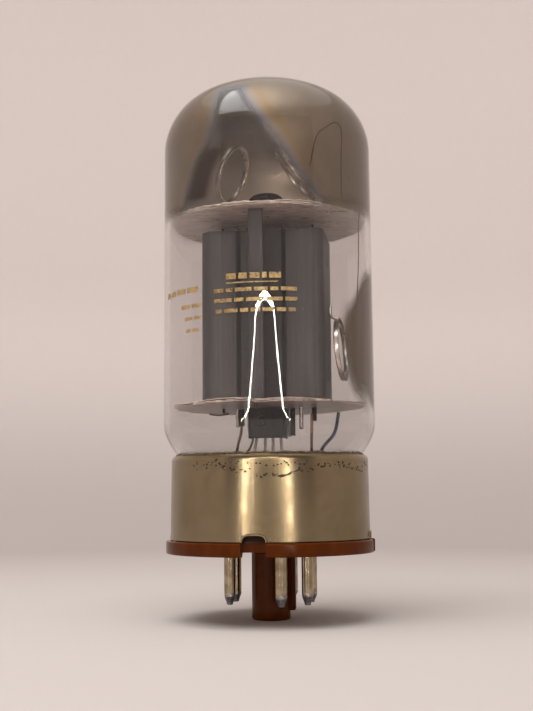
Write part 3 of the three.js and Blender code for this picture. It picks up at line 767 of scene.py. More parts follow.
@dataclass(frozen=True)
class CathodeOxide(Grit):
    """The cathode's white oxide, on its middle only. Its ends are bare dark nickel."""

    light: Colour = (0.62, 0.58, 0.52)
    dark: Colour = (0.45, 0.41, 0.36)
    bare: Colour = (0.03, 0.026, 0.022)
    middle: float = 48.7
    half_coat: float = 14.5

    def build(self, s: Shader) -> bpy.types.Material:
        """Grains of oxide up to a soft line near each end."""
        grains = s.noise(0.3, 4)
        coated = 1 - abs(s.z - self.middle).step(self.half_coat, self.half_coat + 0.6)
        colour = s.blend(coated, self.bare, s.blend(grains.step(0.35, 0.65), self.dark, self.light))
        rough = grains * 0.15 + coated * 0.4 + 0.4
        return s.done(s.principled(Base_Color=colour, Roughness=rough, Normal=s.bump(grains * coated, 0.03)))


@dataclass(frozen=True)
class Mica(Finish):
    """Split mica: pinkish grey, streaked and flaky, paler at its torn rim."""

    name: str = "split_mica"
    pale: Colour = (0.82, 0.63, 0.53)
    deep: Colour = (0.54, 0.385, 0.315)
    torn: Colour = (0.74, 0.64, 0.57)
    flake: Colour = (0.5, 0.44, 0.41)
    crack: Colour = (0.09, 0.068, 0.06)
    veil: Colour = (0.8, 0.74, 0.7)
    sight_through: float = 0.12

    def build(self, s: Shader) -> bpy.types.Material:
        """Streaks across the sheet, dark cracks, and a slight view through."""
        streaks = s.noise(1.5, 5, (2.4, 1, 1), 0.9)
        flakes = s.noise(6, 4, (2, 1, 1), 1.2)
        colour = s.blend(streaks.step(0.3, 0.7), self.deep, self.pale)
        colour = s.blend(flakes.step(0.52, 0.6) * 0.35, colour, self.flake)
        radius = (s.x * s.x + s.y * s.y).power(0.5)
        torn = (radius + s.noise(1.3, 3) * 1.6).step(20.4, 21.4)
        colour = s.blend(torn * 0.7, colour, self.torn)
        crack = 1 - abs(flakes - 0.5).step(0.0, 0.016)
        colour = s.blend(crack * 0.8, colour, self.crack)
        rough = streaks * 0.25 + 0.22
        normal = s.bump(streaks * 0.6 + flakes, 0.05)
        sheet_face = s.principled(Base_Color=colour, Roughness=rough, Normal=normal)
        return s.done(s.mixed(self.sight_through, sheet_face, s.clear(self.veil)))


@dataclass(frozen=True)
class AnodeCoat(Finish):
    """The anode's dark heat-radiating coat on rolled sheet: warm grey, satin, streaked up and down, with
    painted shade in the channels beside the fins.
    """

    name: str = "anode_coat"
    dark: Colour = (0.014, 0.012, 0.012)
    light: Colour = (0.066, 0.057, 0.056)
    bright: Colour = (0.45, 0.43, 0.42)
    # painted shade: the near-black that stands for the shadow in the recessed channels
    painted_shade: Colour = (0.008, 0.007, 0.007)

    def build(self, s: Shader) -> bpy.types.Material:
        """Wide and fine upright streaks, a few bright grains, and painted shade in the recessed channels."""
        wide = s.noise(3.2, 2, (1, 1, 30))
        fine = s.noise(0.5, 3, (1, 1, 40))
        colour = s.blend((wide * 0.7 + fine * 0.3).step(0.3, 0.72), self.dark, self.light)
        grains = 1 - s.cells(1.7).step(0.04, 0.075)
        colour = s.blend(grains * s.noise(3).step(0.5, 0.6), colour, self.bright)
        # painted shade: the recessed channels beside the front and back fins are darkened as if shadowed
        channel = (1 - abs(s.x).step(4.6, 5.4)) * (1 - abs(s.y).step(9.3, 10.2))
        colour = s.blend(channel * 0.6, colour, self.painted_shade)
        rough = wide * 0.2 + fine * 0.1 + 0.34
        normal = s.bump(fine * 0.6 + s.noise(0.25, 2) * 0.4, 0.01)
        surface = s.principled(
            Base_Color=colour, Metallic=0.1, Roughness=rough, Specular_IOR_Level=0.3, Normal=normal
        )
        return s.done(surface)


@dataclass(frozen=True)
class GoldPrint(Finish):
    """Worn gilt ink on the glass."""

    name: str = "gilt_print"
    gilt: Colour = (0.52, 0.36, 0.15)
    worn: Colour = (0.33, 0.23, 0.11)

    def build(self, s: Shader) -> bpy.types.Material:
        """Ink of two strengths, rubbed away in small spots."""
        grains = s.noise(0.35, 3)
        colour = s.blend(s.noise(1.2, 3).step(0.35, 0.65), self.worn, self.gilt)
        ink = s.principled(Base_Color=colour, Metallic=0.5, Roughness=0.42)
        return s.done(s.mixed(grains.step(0.36, 0.44), s.clear(), ink))


@dataclass(frozen=True)
class PaleGround(Finish):
    """The studio's pale floor and wall. From underneath it lets the view through."""

    name: str = "pale_ground"
    tone: Colour = (0.7, 0.635, 0.605)
    grain_share: float = 0.97
    floor_share: float = 0.66

    def build(self, s: Shader) -> bpy.types.Material:
        """A matt ground with a barely visible grain, darker towards the floor."""
        grain = s.noise(3, 3)
        colour = s.blend(grain, self.tone, tuple(self.grain_share * c for c in self.tone))
        colour = s.blend(s.z.step(120, -10), colour, tuple(self.floor_share * c for c in self.tone))
        matt = s.principled(Base_Color=colour, Roughness=0.9, Specular_IOR_Level=0.1)
        under = s.node("ShaderNodeNewGeometry").outputs["Backfacing"]
        return s.done(s.mixed(under, matt, s.clear()))


CLEAR_GLASS = ClearGlass()
FLASH = FlashFilm()
SLEEVE = SleeveNickel()
PIN = PinNickel()
BROWN_MOULDING = Phenolic()
OLD_CEMENT = Grit("base_cement")
OXIDE = CathodeOxide("cathode_oxide")
ALUMINA = Grit("heater_alumina", (0.7, 0.68, 0.64), (0.52, 0.5, 0.46), 0.25, 0.03)
SPLIT_MICA = Mica()
COAT = AnodeCoat()
GILT = GoldPrint()
NICKEL = Metal("bright_nickel", (0.55, 0.52, 0.48), (0.3, 0.27, 0.24), (0.16, 0.36))
DARK_NICKEL = Metal("dark_nickel", (0.008, 0.0065, 0.0065), (0.004, 0.0035, 0.0035), (0.3, 0.5))
RING_NICKEL = Metal("getter_nickel", (0.93, 0.86, 0.77), (0.45, 0.38, 0.31), (0.14, 0.3), 1.8, (1, 1, 1))
COPPER = Metal("copper_clad", (0.2, 0.095, 0.045), (0.06, 0.03, 0.018), (0.2, 0.42), 1.5)
GOLD_WIRE = Metal("gold_wire", (0.7, 0.52, 0.24), (0.45, 0.3, 0.12), (0.15, 0.3), 1.5)
BLUED = Metal("blued_strap", (0.02, 0.028, 0.07), (0.008, 0.01, 0.025), (0.15, 0.32), 1.5)

NODE_FINISHES: dict[str, Finish] = {
    Slot.GLASS.value: CLEAR_GLASS,
    Slot.NICKEL_PLATE.value: SLEEVE,
    Slot.PHENOLIC.value: BROWN_MOULDING,
    Slot.CEMENT.value: OLD_CEMENT,
    Slot.PIN_METAL.value: PIN,
    Slot.COPPER.value: COPPER,
    Slot.MICA.value: SPLIT_MICA,
    Slot.ANODE_COAT.value: COAT,
    Slot.NICKEL.value: NICKEL,
    Slot.DARK_NICKEL.value: DARK_NICKEL,
    Slot.GRID_WIRE.value: GOLD_WIRE,
    Slot.CATHODE_COAT.value: OXIDE,
    Slot.HEATER_COAT.value: ALUMINA,
    Slot.BLUED_STRAP.value: BLUED,
}


# ------------------------------------------------------------------------------------------------
# Pieces
# ------------------------------------------------------------------------------------------------


def mesh_of(name: str, shape: Shape, marks: dict[str, Array] | None = None) -> bpy.types.Mesh:
    """A Blender mesh of a shape, in metres.

    Args:
        name: the mesh's name.
        shape: the surface.
        marks: numbers that the corners carry, by name.

    Returns:
        The mesh.
    """
    mesh = bpy.data.meshes.new(name)
    mesh.vertices.add(len(shape.corners))
    mesh.vertices.foreach_set("co", (shape.corners * MM).astype(np.float32).ravel())
    sides = np.concatenate([np.full(len(f), f.shape[1]) for f in shape.faces])
    mesh.loops.add(int(sides.sum()))
    mesh.loops.foreach_set("vertex_index", np.concatenate([f.ravel() for f in shape.faces]).astype(np.int32))
    mesh.polygons.add(len(sides))
    mesh.polygons.foreach_set("loop_start", (np.cumsum(sides) - sides).astype(np.int32))
    mesh.update(calc_edges=True)
    mesh.validate()
    for key, values in (marks or {}).items():
        mesh.attributes.new(key, "FLOAT", "POINT").data.foreach_set("value", values.astype(np.float32))
    return mesh


@dataclass
class Maker:
    """Puts finished pieces in the scene."""

    made: list[str] = field(default_factory=list)

    def piece(
        self,
        name: str,
        shape: Shape,
        finish: Finish,
        stands_for: Sequence[str] = (),
        wall: float = 0.0,
        bevel: float = 0.0,
        crease: float = 38.0,
        marks: dict[str, Array] | None = None,
    ) -> bpy.types.Object:
        """Makes a piece that rides on the tube.

        Args:
            name: the piece's name.
            shape: its surface.
            finish: what covers it.
            stands_for: the CAD nodes that it replaces.
            wall: the thickness given to an open sheet, half on each side.
            bevel: how much is taken off sharp edges.
            crease: the angle in degrees past which an edge is sharp.
            marks: numbers that the corners carry, by name.

        Returns:
            The piece.
        """
        mesh = mesh_of(name, shape, marks)
        mesh.polygons.foreach_set("use_smooth", np.ones(len(mesh.polygons), bool))
        mesh.set_sharp_from_angle(angle=math.radians(crease))
        mesh.materials.append(finish.material())
        made = bpy.data.objects.new(name, mesh)
        bpy.context.scene.collection.objects.link(made)
        if wall > 0:
            solid = made.modifiers.new("wall", "SOLIDIFY")
            solid.thickness, solid.offset, solid.use_even_offset = wall * MM, 0.0, True
        if bevel > 0:
            edge = made.modifiers.new("edge", "BEVEL")
            edge.width, edge.segments, edge.angle_limit = bevel * MM, 2, math.radians(55)
            edge.limit_method = "ANGLE"
        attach(made, BODY)
        if stands_for:
            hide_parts(*stands_for)
        self.made.append(name)
        log.info("%s: %d faces for %s", name, len(mesh.polygons), ", ".join(stands_for) or "detail")
        return made

    def dress_nodes(self) -> None:
        """Gives every CAD node that still shows the finish of its slot."""
        for name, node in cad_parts.items():
            if node.hide_render:
                continue
            for place in node.material_slots:
                wanted = place.material.name.split(".")[0]
                place.material = NODE_FINISHES[wanted].material()
            log.info("%s: CAD node kept", name)


# ------------------------------------------------------------------------------------------------
# Glass
# ------------------------------------------------------------------------------------------------


@dataclass
class Bulb:
    """The envelope: a straight-sided bulb with a flattened dome and a waist that draws in to a neck."""

    radius: float = 22.2
    top: float = 100.8
    wall: float = 1.1
    crown: float = 32.0
    shoulder: float = 13.8
    waist_top: float = 26.5
    waist_bottom: float = 15.0
    neck: float = 17.6
    neck_bottom: float = 7.6

    def profile(self, inset: float) -> Array:
        """(radius, height) points from the apex to the neck: two tangent arcs, a straight side, and half
        a cosine wave for the waist, all taken in by inset.
        """
        crown_centre = self.top - self.crown
        spread, offset = self.crown - self.shoulder, self.radius - self.shoulder
        shoulder_centre = crown_centre + math.sqrt(spread**2 - offset**2)
        join = math.degrees(math.atan2(shoulder_centre - crown_centre, offset))
        crown = arc(0, crown_centre, self.crown - inset, 90, join, 26)
        crown[0, 0] = 0
        shoulder = arc(offset, shoulder_centre, self.shoulder - inset, join, 0, 34)[1:]
        side = np.linspace(shoulder_centre, self.waist_top, 40)[1:]
        waist = np.linspace(self.waist_top, self.waist_bottom, 26)[1:]
        share = (self.waist_top - waist) / (self.waist_top - self.waist_bottom)
        drawn = self.radius - (self.radius - self.neck) * (1 - np.cos(np.pi * share)) / 2
        return np.vstack([
            crown,
            shoulder,
            np.stack([np.full_like(side, self.radius - inset), side], -1),
            np.stack([drawn - inset, waist], -1),
            [[self.neck - inset, self.neck_bottom]],
        ])

    def radius_at(self, height: Array, inset: float) -> Array:
        """The inset face's radius at a height."""
        p = self.profile(inset)[::-1]
        return np.interp(height, p[:, 1], p[:, 0])

    def skin(self, angle: Array, height: Array, inset: float) -> Array:
        """Points on the inset face at angles and heights."""
        return polar(self.radius_at(height, inset), angle, height)

    def build(self, maker: Maker) -> None:
        """The glass wall."""
        walls = np.vstack([self.profile(0), self.profile(self.wall)[::-1]])
        maker.piece("bulb_glass", revolve(walls, 176), CLEAR_GLASS, ["glass_envelope"])


@dataclass
class Stem:
    """The glass button in the neck, with a collar of glass round each lead."""

    top: float = 11.4
    thickness: float = 2.6
    radius: float = 16.4
    lead_circle: float = 9.6
    lead_angles: tuple[float, ...] = (157.5, 112.5, 247.5, 292.5, 22.5, 67.5, 202.5, 337.5)

    def build(self, maker: Maker) -> None:
        """The button and its collars in one piece."""
        low = self.top - self.thickness
        ridge = [
            (0, self.top, 0), (self.lead_circle - 2, self.top, 1.5),
            (self.lead_circle - 0.9, self.top + 0.6, 0.5),
            (self.lead_circle + 0.9, self.top + 0.6, 0.5), (self.lead_circle + 2, self.top, 1.5),
            (self.radius, self.top - 0.6, 0.4), (self.radius, low, 0.5), (0, low, 0),
        ]
        button = revolve(rounded(ridge), 96)
        collar = revolve(rounded([(0, 0.9, 0), (0.62, 0.8, 0.15), (1.1, -0.4, 0.2), (0, -0.4, 0)]), 20)
        for angle in self.lead_angles:
            place = polar(np.array(self.lead_circle), np.array(angle), np.array(self.top + 0.6))
            button = button + collar.placed(Matrix.Translation(Vector(place)))
        maker.piece("stem_button", button, CLEAR_GLASS, ["glass_stem"])


@dataclass
class Flash:
    """The getter's films: one in the dome with a clear window in front, and one beside the side getter."""

    bulb: Bulb
    inset: float = 1.04
    dome_foot: float = 65.0
    columns: int = 330
    window_top: float = 94.3
    window_heights: tuple[float, ...] = (68.0, 70.7, 75.0, 78.5, 81.5, 86.9, 92.7, 96.0)
    window_left: tuple[float, ...] = (-48.0, -43.9, -38.4, -34.6, -27.9, -23.1, -23.2, -22.0)
    window_right: tuple[float, ...] = (52.0, 39.6, 30.3, 23.2, 17.4, 7.4, -3.2, -6.0)
    stain_heights: tuple[float, ...] = (68.0, 70.8, 76.0, 80.0, 81.6)
    stain_right: tuple[float, ...] = (-24.0, -23.0, -19.0, -13.0, -9.0)
    patch_angle: float = 95.0
    patch_height: float = 43.8
    patch_reach: tuple[float, float] = (16.5, 15.2)
    crease: tuple[tuple[float, float], ...] = (
        (32.3, 76.7), (36.6, 83.1), (43.0, 85.4), (49.5, 86.8), (53.6, 85.4), (53.1, 79.1), (52.7, 70.5),
    )
    drip: tuple[tuple[float, float], ...] = (
        (69.5, 69.5), (68.0, 66.5), (67.6, 63.0), (67.1, 59.0), (65.6, 53.5), (65.1, 50.8),
    )

    def dome(self, maker: Maker) -> None:
        """The dome's film. Inside the window, how far a corner is from the window's nearest side, in
        millimetres along the glass, gives the film's weight and colours.
        """
        profile = self.bulb.profile(self.inset)
        profile = profile[profile[:, 1] > self.dome_foot]
        shape = revolve(profile, self.columns)
        x, y, z = shape.corners.T
        angle = np.degrees(np.arctan2(x, -y))
        radius = np.hypot(x, y)
        per_degree = radius * np.pi / 180
        drift = wobble(angle / 7, z / 4, 3) * 0.5
        left = (angle - np.interp(z, self.window_heights, self.window_left)) * per_degree
        right = (np.interp(z, self.window_heights, self.window_right) - angle) * per_degree
        inside = np.minimum(np.minimum(left, right), (self.window_top - z) * 1.4) + drift * 0.5
        clear = ease(inside, 0.2, 2.6)
        edge = np.where(left < right, 0.75, 1.0)
        slate = np.exp(-(((inside - 1.1) / 1.5) ** 2)) * edge
        straw = np.exp(-(((inside + 1.9) / 1.5) ** 2)) * (0.42 + 0.25 * wobble(angle / 9, z / 6, 5))
        foot = 70.0 + 1.2 * wobble(angle / 16, z * 0, 8) + 1.5 * ease(np.abs(angle), 60, 130)
        faded = ease(z, foot - 2.2, foot + 1.6)
        straw = np.maximum(straw, np.exp(-(((z - foot) / 1.1) ** 2)) * 0.9 * (1 - clear))
        film = faded * (1 - 0.93 * clear) * (0.93 + 0.04 * drift)
        stain_side = (np.interp(z, self.stain_heights, self.stain_right) - angle) * per_degree
        stain = ease(stain_side, -0.9, 2.2) * ease(left, -1.0, 2.2) * ease(z, 83.0, 80.0)
        stain = stain * ease(z, 69.5, 71.5)
        film = np.maximum(film, 0.86 * stain)
        marks = {"film": film, "slate": slate * 0.9, "straw": np.clip(straw, 0, 1), "stain": stain}
        maker.piece("dome_flash", shape, FLASH, marks=marks)

    def side(self, maker: Maker) -> None:
        """The round patch that the side getter leaves, on a grid of angle and height."""
        reach_x, reach_z = self.patch_reach
        half = math.degrees((reach_x + 2) / (self.bulb.radius - self.inset))
        angle = self.patch_angle + np.linspace(-half, half, 120)
        height = self.patch_height + np.linspace(-reach_z - 2, reach_z + 2, 110)
        a, z = np.meshgrid(angle, height)
        shape = sheet(self.bulb.skin(a, z, self.inset))
        across = (a - self.patch_angle) * np.pi / 180 * (self.bulb.radius - self.inset) / reach_x
        up = (z - self.patch_height) / reach_z
        out = np.hypot(across, up) + 0.05 * wobble(a / 5, z / 7, 11)
        film = (1 - ease(out, 0.8, 1.03)).ravel()
        straw = 0.25 + np.exp(-(((out - 0.93) / 0.1) ** 2)).ravel() * 0.6
        streak = (0.5 + 0.5 * wobble(a / 2.2, z / 14, 12)).ravel()
        stain = streak * 0.35 * film
        marks = {"film": film * 0.93, "straw": straw, "slate": np.zeros_like(film), "stain": stain}
        maker.piece("side_flash", shape, FLASH, marks=marks)

    def build(self, maker: Maker) -> None:
        """Both films, a crease in the dome's, and the run that dripped from it."""
        self.dome(maker)
        self.side(maker)
        crease = through(self.crease, 60)
        line = rod(self.bulb.skin(crease[:, 0], crease[:, 1], self.inset - 0.1), 0.09, sides=8)
        drip = through(self.drip, 40)
        line = line + rod(self.bulb.skin(drip[:, 0], drip[:, 1], self.inset - 0.1), 0.13, sides=8)
        stain = Metal("burnt_film", (0.13, 0.075, 0.03), (0.06, 0.035, 0.015), (0.3, 0.5), 2.0)
        maker.piece("flash_creases", line, stain)


@dataclass
class Print:
    """Plain gilt rules on the bulb: dashes in rows. They say nothing."""

    bulb: Bulb
    lift: float = 0.03
    rows: tuple[tuple[float, float, float, float, int], ...] = (
        (54.3, 1.15, -12.7, 15.6, 5),
        (53.0, 0.25, -12.7, 14.1, 1),
        (51.6, 0.75, -19.6, 23.7, 6),
        (49.6, 0.75, -19.6, 23.9, 5),
        (47.5, 0.75, -18.6, 23.1, 7),
        (52.6, 1.1, -60.0, -30.0, 4),
        (49.3, 0.8, -43.0, -28.0, 2),
        (46.8, 0.7, -40.0, -28.0, 2),
        (44.4, 0.7, -39.0, -29.5, 2),
    )

    def dash(self, start: float, stop: float, height: float, width: float) -> Shape:
        """A rule's dash: a grid of angle and height lying just proud of the glass, with its rim turned
        down to the glass so that it is closed underneath.
        """
        angle = np.linspace(start, stop, max(4, int(abs(stop - start) * 2)))
        across = np.linspace(-0.5, 0.5, 4) * width + height
        a, z = np.meshgrid(angle, across)
        outer = self.bulb.skin(a, z, -self.lift)
        inner = self.bulb.skin(a, z, -0.004)
        rows, columns = a.shape
        rim = np.concatenate([
            np.arange(columns), np.arange(1, rows) * columns + columns - 1,
            (rows - 1) * columns + np.arange(columns - 2, -1, -1), np.arange(rows - 2, 0, -1) * columns,
        ])
        after = np.roll(rim, -1)
        size = rows * columns
        faces = grid_faces(rows, columns, False, False)
        walls = np.stack([rim, rim + size, after + size, after], -1)
        corners = np.vstack([outer.reshape(-1, 3), inner.reshape(-1, 3)])
        return Shape(corners, [faces, faces[:, ::-1] + size, walls]).outward()

    def build(self, maker: Maker) -> None:
        """Every row's dashes in one piece, their lengths from a seeded draw."""
        draw = np.random.default_rng(21)
        dashes: list[Shape] = []
        for height, width, start, stop, count in self.rows:
            shares = draw.uniform(0.6, 1.4, count)
            ends = start + (stop - start) * np.cumsum(shares) / shares.sum()
            begin = start
            for end in ends:
                gap = 1.3 if end < stop - 0.01 else 0.0
                dashes.append(self.dash(begin, end - gap, height, width))
                begin = end
        maker.piece("gilt_rules", joined(dashes), GILT)


# ------------------------------------------------------------------------------------------------
# Base
# ------------------------------------------------------------------------------------------------


def dense_angles(near: Sequence[float], reach: float = 8.0) -> Array:
    """Angles round the circle, close together near some of them."""
    wide = np.linspace(0, 360, 240, endpoint=False)
    fine = [(n + np.arange(-reach, reach + 0.01, 0.2)) % 360 for n in near]
    return np.unique(np.round(np.concatenate([wide, *fine]), 3))


@dataclass
class Sleeve:
    """The plated sleeve: a rounded shoulder turned in to the glass, and a lipped arch over each notch."""

    foot_radius: float = 20.75
    head_radius: float = 20.6
    foot: float = 2.75
    top: float = 20.1
    wall: float = 0.4
    shoulder: float = 1.3
    arch_width: float = 4.9
    arch_height: float = 1.5
    notches: tuple[float, ...] = (0.0, 90.0, 180.0, 270.0)
    spot_height: float = 17.6
    crust_line: tuple[tuple[float, float], ...] = (
        (-30, 19.8), (-24.9, 19.2), (-17.8, 17.9), (-10.2, 16.6), (-4.0, 16.6), (4.6, 15.7), (14.4, 15.3),
        (21.7, 16.2), (30.7, 16.8), (40.6, 17.5), (49.5, 18.1), (60.2, 17.1), (76.0, 16.3), (80, 14.1),
    )

    def arch(self, angle: Array) -> Array:
        """How far the foot is raised at an angle: a squared-off ellipse over each notch."""
        away = np.min([np.abs((angle - n + 180) % 360 - 180) for n in self.notches], 0)
        share = np.clip(np.radians(away) * self.foot_radius / (self.arch_width / 2), 0, 1)
        return self.arch_height * (1 - share**4) ** 0.5

    def bend(self, r: Array, a: Array, z: Array) -> tuple[Array, Array]:
        """Carries the lower part of the wall up to the arches, and leaves faint dents in it."""
        limit = 9.0
        lift = self.arch(a) * np.clip((limit - z) / (limit - self.foot), 0, 1)
        return r + 0.03 * wobble(a / 14, z / 5, 31), z + lift

    def lip(self, notch: float) -> Shape:
        """The bright rolled lip round one arch: a round bead along the arch's edge."""
        half = math.degrees(self.arch_width / 2 / self.foot_radius)
        share = np.sin(np.linspace(-np.pi / 2, np.pi / 2, 61))
        rise = self.foot + self.arch_height * (1 - share**4) ** 0.5
        edge = polar(np.full(61, self.foot_radius + 0.02), notch + half * share, rise)
        return rod(edge, 0.24, sides=10)

    def build(self, maker: Maker) -> None:
        """The wall with its lips. The corners near a ragged line, and near the top edge, carry crust."""
        centre = self.head_radius - self.shoulder
        outside = arc(centre, self.top - self.shoulder, self.shoulder, 78, 0, 12)
        inside = arc(centre, self.top - self.shoulder, self.shoulder - self.wall, 0, 78, 12)
        down = np.linspace(outside[-1], [self.foot_radius, self.foot + 0.12], 46)[1:]
        up = np.linspace([self.foot_radius - self.wall, self.foot + 0.12], inside[0], 24)[:-1]
        turn_in = np.array([
            [self.foot_radius - 0.1, self.foot], [self.foot_radius - self.wall + 0.1, self.foot],
        ])
        profile = np.vstack([outside, down, turn_in, up, inside])
        wall = revolve(profile, dense_angles(self.notches), closed=True, bend=self.bend)
        wall = joined([wall, *[self.lip(notch) for notch in self.notches]])
        x, y, z = wall.corners.T
        angle = np.degrees(np.arctan2(x, -y))
        stations, heights = zip(*self.crust_line)
        line = np.interp(angle, stations, heights) + 0.25 * wobble(angle / 1.7, z * 0, 33)
        weight = ease(angle, -27, -20) * ease(angle, 82, 78)
        heavy = 0.62 + 0.38 * np.exp(-(((angle - 19) / 7) ** 2))
        crust = np.exp(-(((z - line) / (0.34 + 0.5 * (1 - heavy))) ** 2)) * weight * heavy
        scatter = 0.42 + 0.2 * wobble(angle / 6, z, 35)
        spots = np.exp(-(((z - self.spot_height) / 1.3) ** 2)) * scatter * ease(angle, -50, -34)
        spots = spots * ease(angle, 100, 84)
        rim = ease(z, self.top - 0.75, self.top - 0.15) * (0.75 + 0.3 * wobble(angle / 3, z, 34))
        marks = {"crust": np.clip(np.maximum(np.maximum(crust, rim), spots * 0.8), 0, 1)}
        maker.piece("sleeve", wall, SLEEVE, ["base_shell"], marks=marks)


@dataclass
class Cement:
    """The ring of cement between the neck and the sleeve, which has squeezed out in crumbs at the top."""

    neck: float = 17.95
    outer: float = 19.95
    bottom: float = 10.3
    top: float = 20.25

    def bend(self, r: Array, a: Array, z: Array) -> tuple[Array, Array]:
        """Lumps the top: radius and height wander by up to a third of a millimetre."""
        near = np.clip((z - 18.5) / 1.5, 0, 1)
        lumps = wobble(a / 2.4, r * 3, 41, 14) * 0.16 + wobble(a / 0.9, r * 5, 42, 14) * 0.1
        return r + near * lumps * 0.4, z + near * (lumps + 0.02)

    def build(self, maker: Maker) -> None:
        """The lumpy ring."""
        profile = rounded([
            (self.neck, self.bottom, 0), (self.outer, self.bottom, 0.3), (self.outer, 18.2, 0.3),
            (19.5, self.top, 0.3), (19.3, self.top, 0.1), (18.6, 18.0, 0.5), (self.neck, 14.5, 0.4),
            (self.neck, self.bottom + 0.1, 0),
        ])
        ring = revolve(spaced(profile, 0.3), 420, closed=True, bend=self.bend)
        maker.piece("cement_crumbs", ring, OLD_CEMENT, ["base_cement"])


@dataclass
class Wafer:
    """The moulded wafer: a notched flange with a raised rim below, a collar, and the keyed spigot."""

    radius: float = 21.72
    thickness: float = 2.65
    recess: float = 0.9
    rim: float = 1.6
    notch_depth: float = 1.8
    notch_width: float = 5.0
    notches: tuple[float, ...] = (0.0, 90.0, 180.0, 270.0)
    collar: float = 19.7
    collar_top: float = 6.2
    spigot: float = 3.99
    spigot_bottom: float = -13.7
    root: float = 5.0
    key_radius: float = 5.2
    key_width: float = 1.6
    key_bottom: float = -11.8

    def notched(self, r: Array, a: Array, z: Array) -> tuple[Array, Array]:
        """Cuts each notch: radius is at most floor / cos(angle away), and the rim below the web is gone."""
        away = np.min([np.abs((a - n + 180) % 360 - 180) for n in self.notches], 0)
        floor = (self.radius - self.notch_depth) / np.cos(np.radians(np.minimum(away, 30)))
        inside = np.radians(away) * self.radius < self.notch_width / 2
        cut = inside & (r > floor) & (z < self.thickness + 0.01)
        return np.where(cut, floor, r), np.where(cut, np.maximum(z, self.recess), z)

    def key(self) -> Shape:
        """The key: an upright rib with a rounded nose, along the spigot's +X side."""
        half = self.key_width / 2
        nose = rounded([
            (self.spigot - 0.8, -half, 0), (self.key_radius, -half, 0.45), (self.key_radius, half, 0.45),
            (self.spigot - 0.8, half, 0),
        ])
        heights = np.array([self.key_bottom, self.key_bottom + 0.15, self.key_bottom + 0.5, 0.0, 0.7])
        rings = np.stack([np.column_stack([nose[:, 0], nose[:, 1], np.full(len(nose), h)]) for h in heights])
        rings[0, :, :2] = (rings[0, :, :2] - [self.spigot, 0]) * 0.82 + [self.spigot, 0]
        rings[1, :, :2] = (rings[1, :, :2] - [self.spigot, 0]) * 0.93 + [self.spigot, 0]
        columns, count = len(nose), len(heights) * len(nose)
        j = np.arange(columns)
        faces = [grid_faces(len(heights), columns, False, True)]
        faces.append(np.stack([np.full(columns, count), (j + 1) % columns, j], -1))
        last = count - columns
        faces.append(np.stack([np.full(columns, count + 1), last + j, last + (j + 1) % columns], -1))
        ends = rings[[0, -1]].mean(1)
        return Shape(np.vstack([rings.reshape(-1, 3), ends]), faces).outward()

    def build(self, maker: Maker) -> None:
        """The wafer with its key."""
        inner = self.radius - self.rim
        profile = rounded([
            (0, self.spigot_bottom, 0), (self.spigot, self.spigot_bottom, 0.55),
            (self.spigot, self.recess - 1.0, 0.3), (self.root, self.recess - 0.7, 0.25),
            (self.root, self.recess, 0.15), (inner, self.recess, 0.2), (inner, 0, 0.15),
            (self.radius, 0, 0.3), (self.radius, self.thickness, 0.3), (self.collar, self.thickness, 0.05),
            (self.collar, self.collar_top, 0.3), (self.collar - 1.3, self.collar_top, 0.3),
            (self.collar - 1.3, 3.0, 0.4), (2.9, 3.0, 0.3), (2.9, self.spigot_bottom + 1.6, 0.4),
            (0, self.spigot_bottom + 1.6, 0),
        ])
        body = revolve(spaced(profile, 1.2), dense_angles(self.notches, 7.0), bend=self.notched)
        maker.piece("base_wafer_moulding", body + self.key(), BROWN_MOULDING, ["base_wafer"])


@dataclass
class Pins:
    """The seven pins of the octal circle, each with a lumpy solder tip."""

    circle: float = 8.725
    radius: float = 1.18
    tip_radius: float = 0.62
    tip: float = -10.5
    top: float = 4.4
    pitch: float = 45.0
    key_angle: float = 90.0
    solder_top: float = -8.0
    numbers: tuple[int, ...] = (1, 2, 3, 4, 5, 7, 8)

    def angle(self, number: int) -> float:
        """A pin's angle, counted from the key."""
        return (self.key_angle + self.pitch * (number - 0.5)) % 360

    def pin(self, number: int) -> Shape:
        """One pin: a turned profile with a taper and a cupped end, its solder a little lumpy."""
        def lumps(r: Array, a: Array, z: Array) -> tuple[Array, Array]:
            """Swells and sinks the solder by up to a tenth of a millimetre."""
            low = np.clip((self.solder_top - z) / 0.6, 0, 1)
            bumps = wobble(a / 28, z * 3, 50 + number, 12) + 0.6 * wobble(a / 11, z * 7, 60 + number, 12)
            return r * (1 + low * (0.045 * bumps + 0.01)), z + low * 0.05 * bumps

        t = self.tip
        profile = np.vstack([
            [[0, t + 0.2]], arc(self.tip_radius - 0.2, t + 0.25, 0.22, -90, -10, 6),
            rounded([
                (self.tip_radius + 0.03, t + 0.4, 0), (self.radius - 0.05, t + 1.7, 0.6),
                (self.radius, t + 3.0, 2.0), (self.radius, self.top, 0.1), (0, self.top, 0),
            ]),
        ])
        place = polar(np.array(self.circle), np.array(self.angle(number)), np.array(0.0))
        return revolve(spaced(profile, 0.35), 40, bend=lumps).placed(Matrix.Translation(Vector(place)))

    def build(self, maker: Maker) -> None:
        """All the pins."""
        for number in self.numbers:
            maker.piece(f"plated_pin_{number}", self.pin(number), PIN, [f"pin_{number}"])


# ------------------------------------------------------------------------------------------------
# Cage
# ------------------------------------------------------------------------------------------------


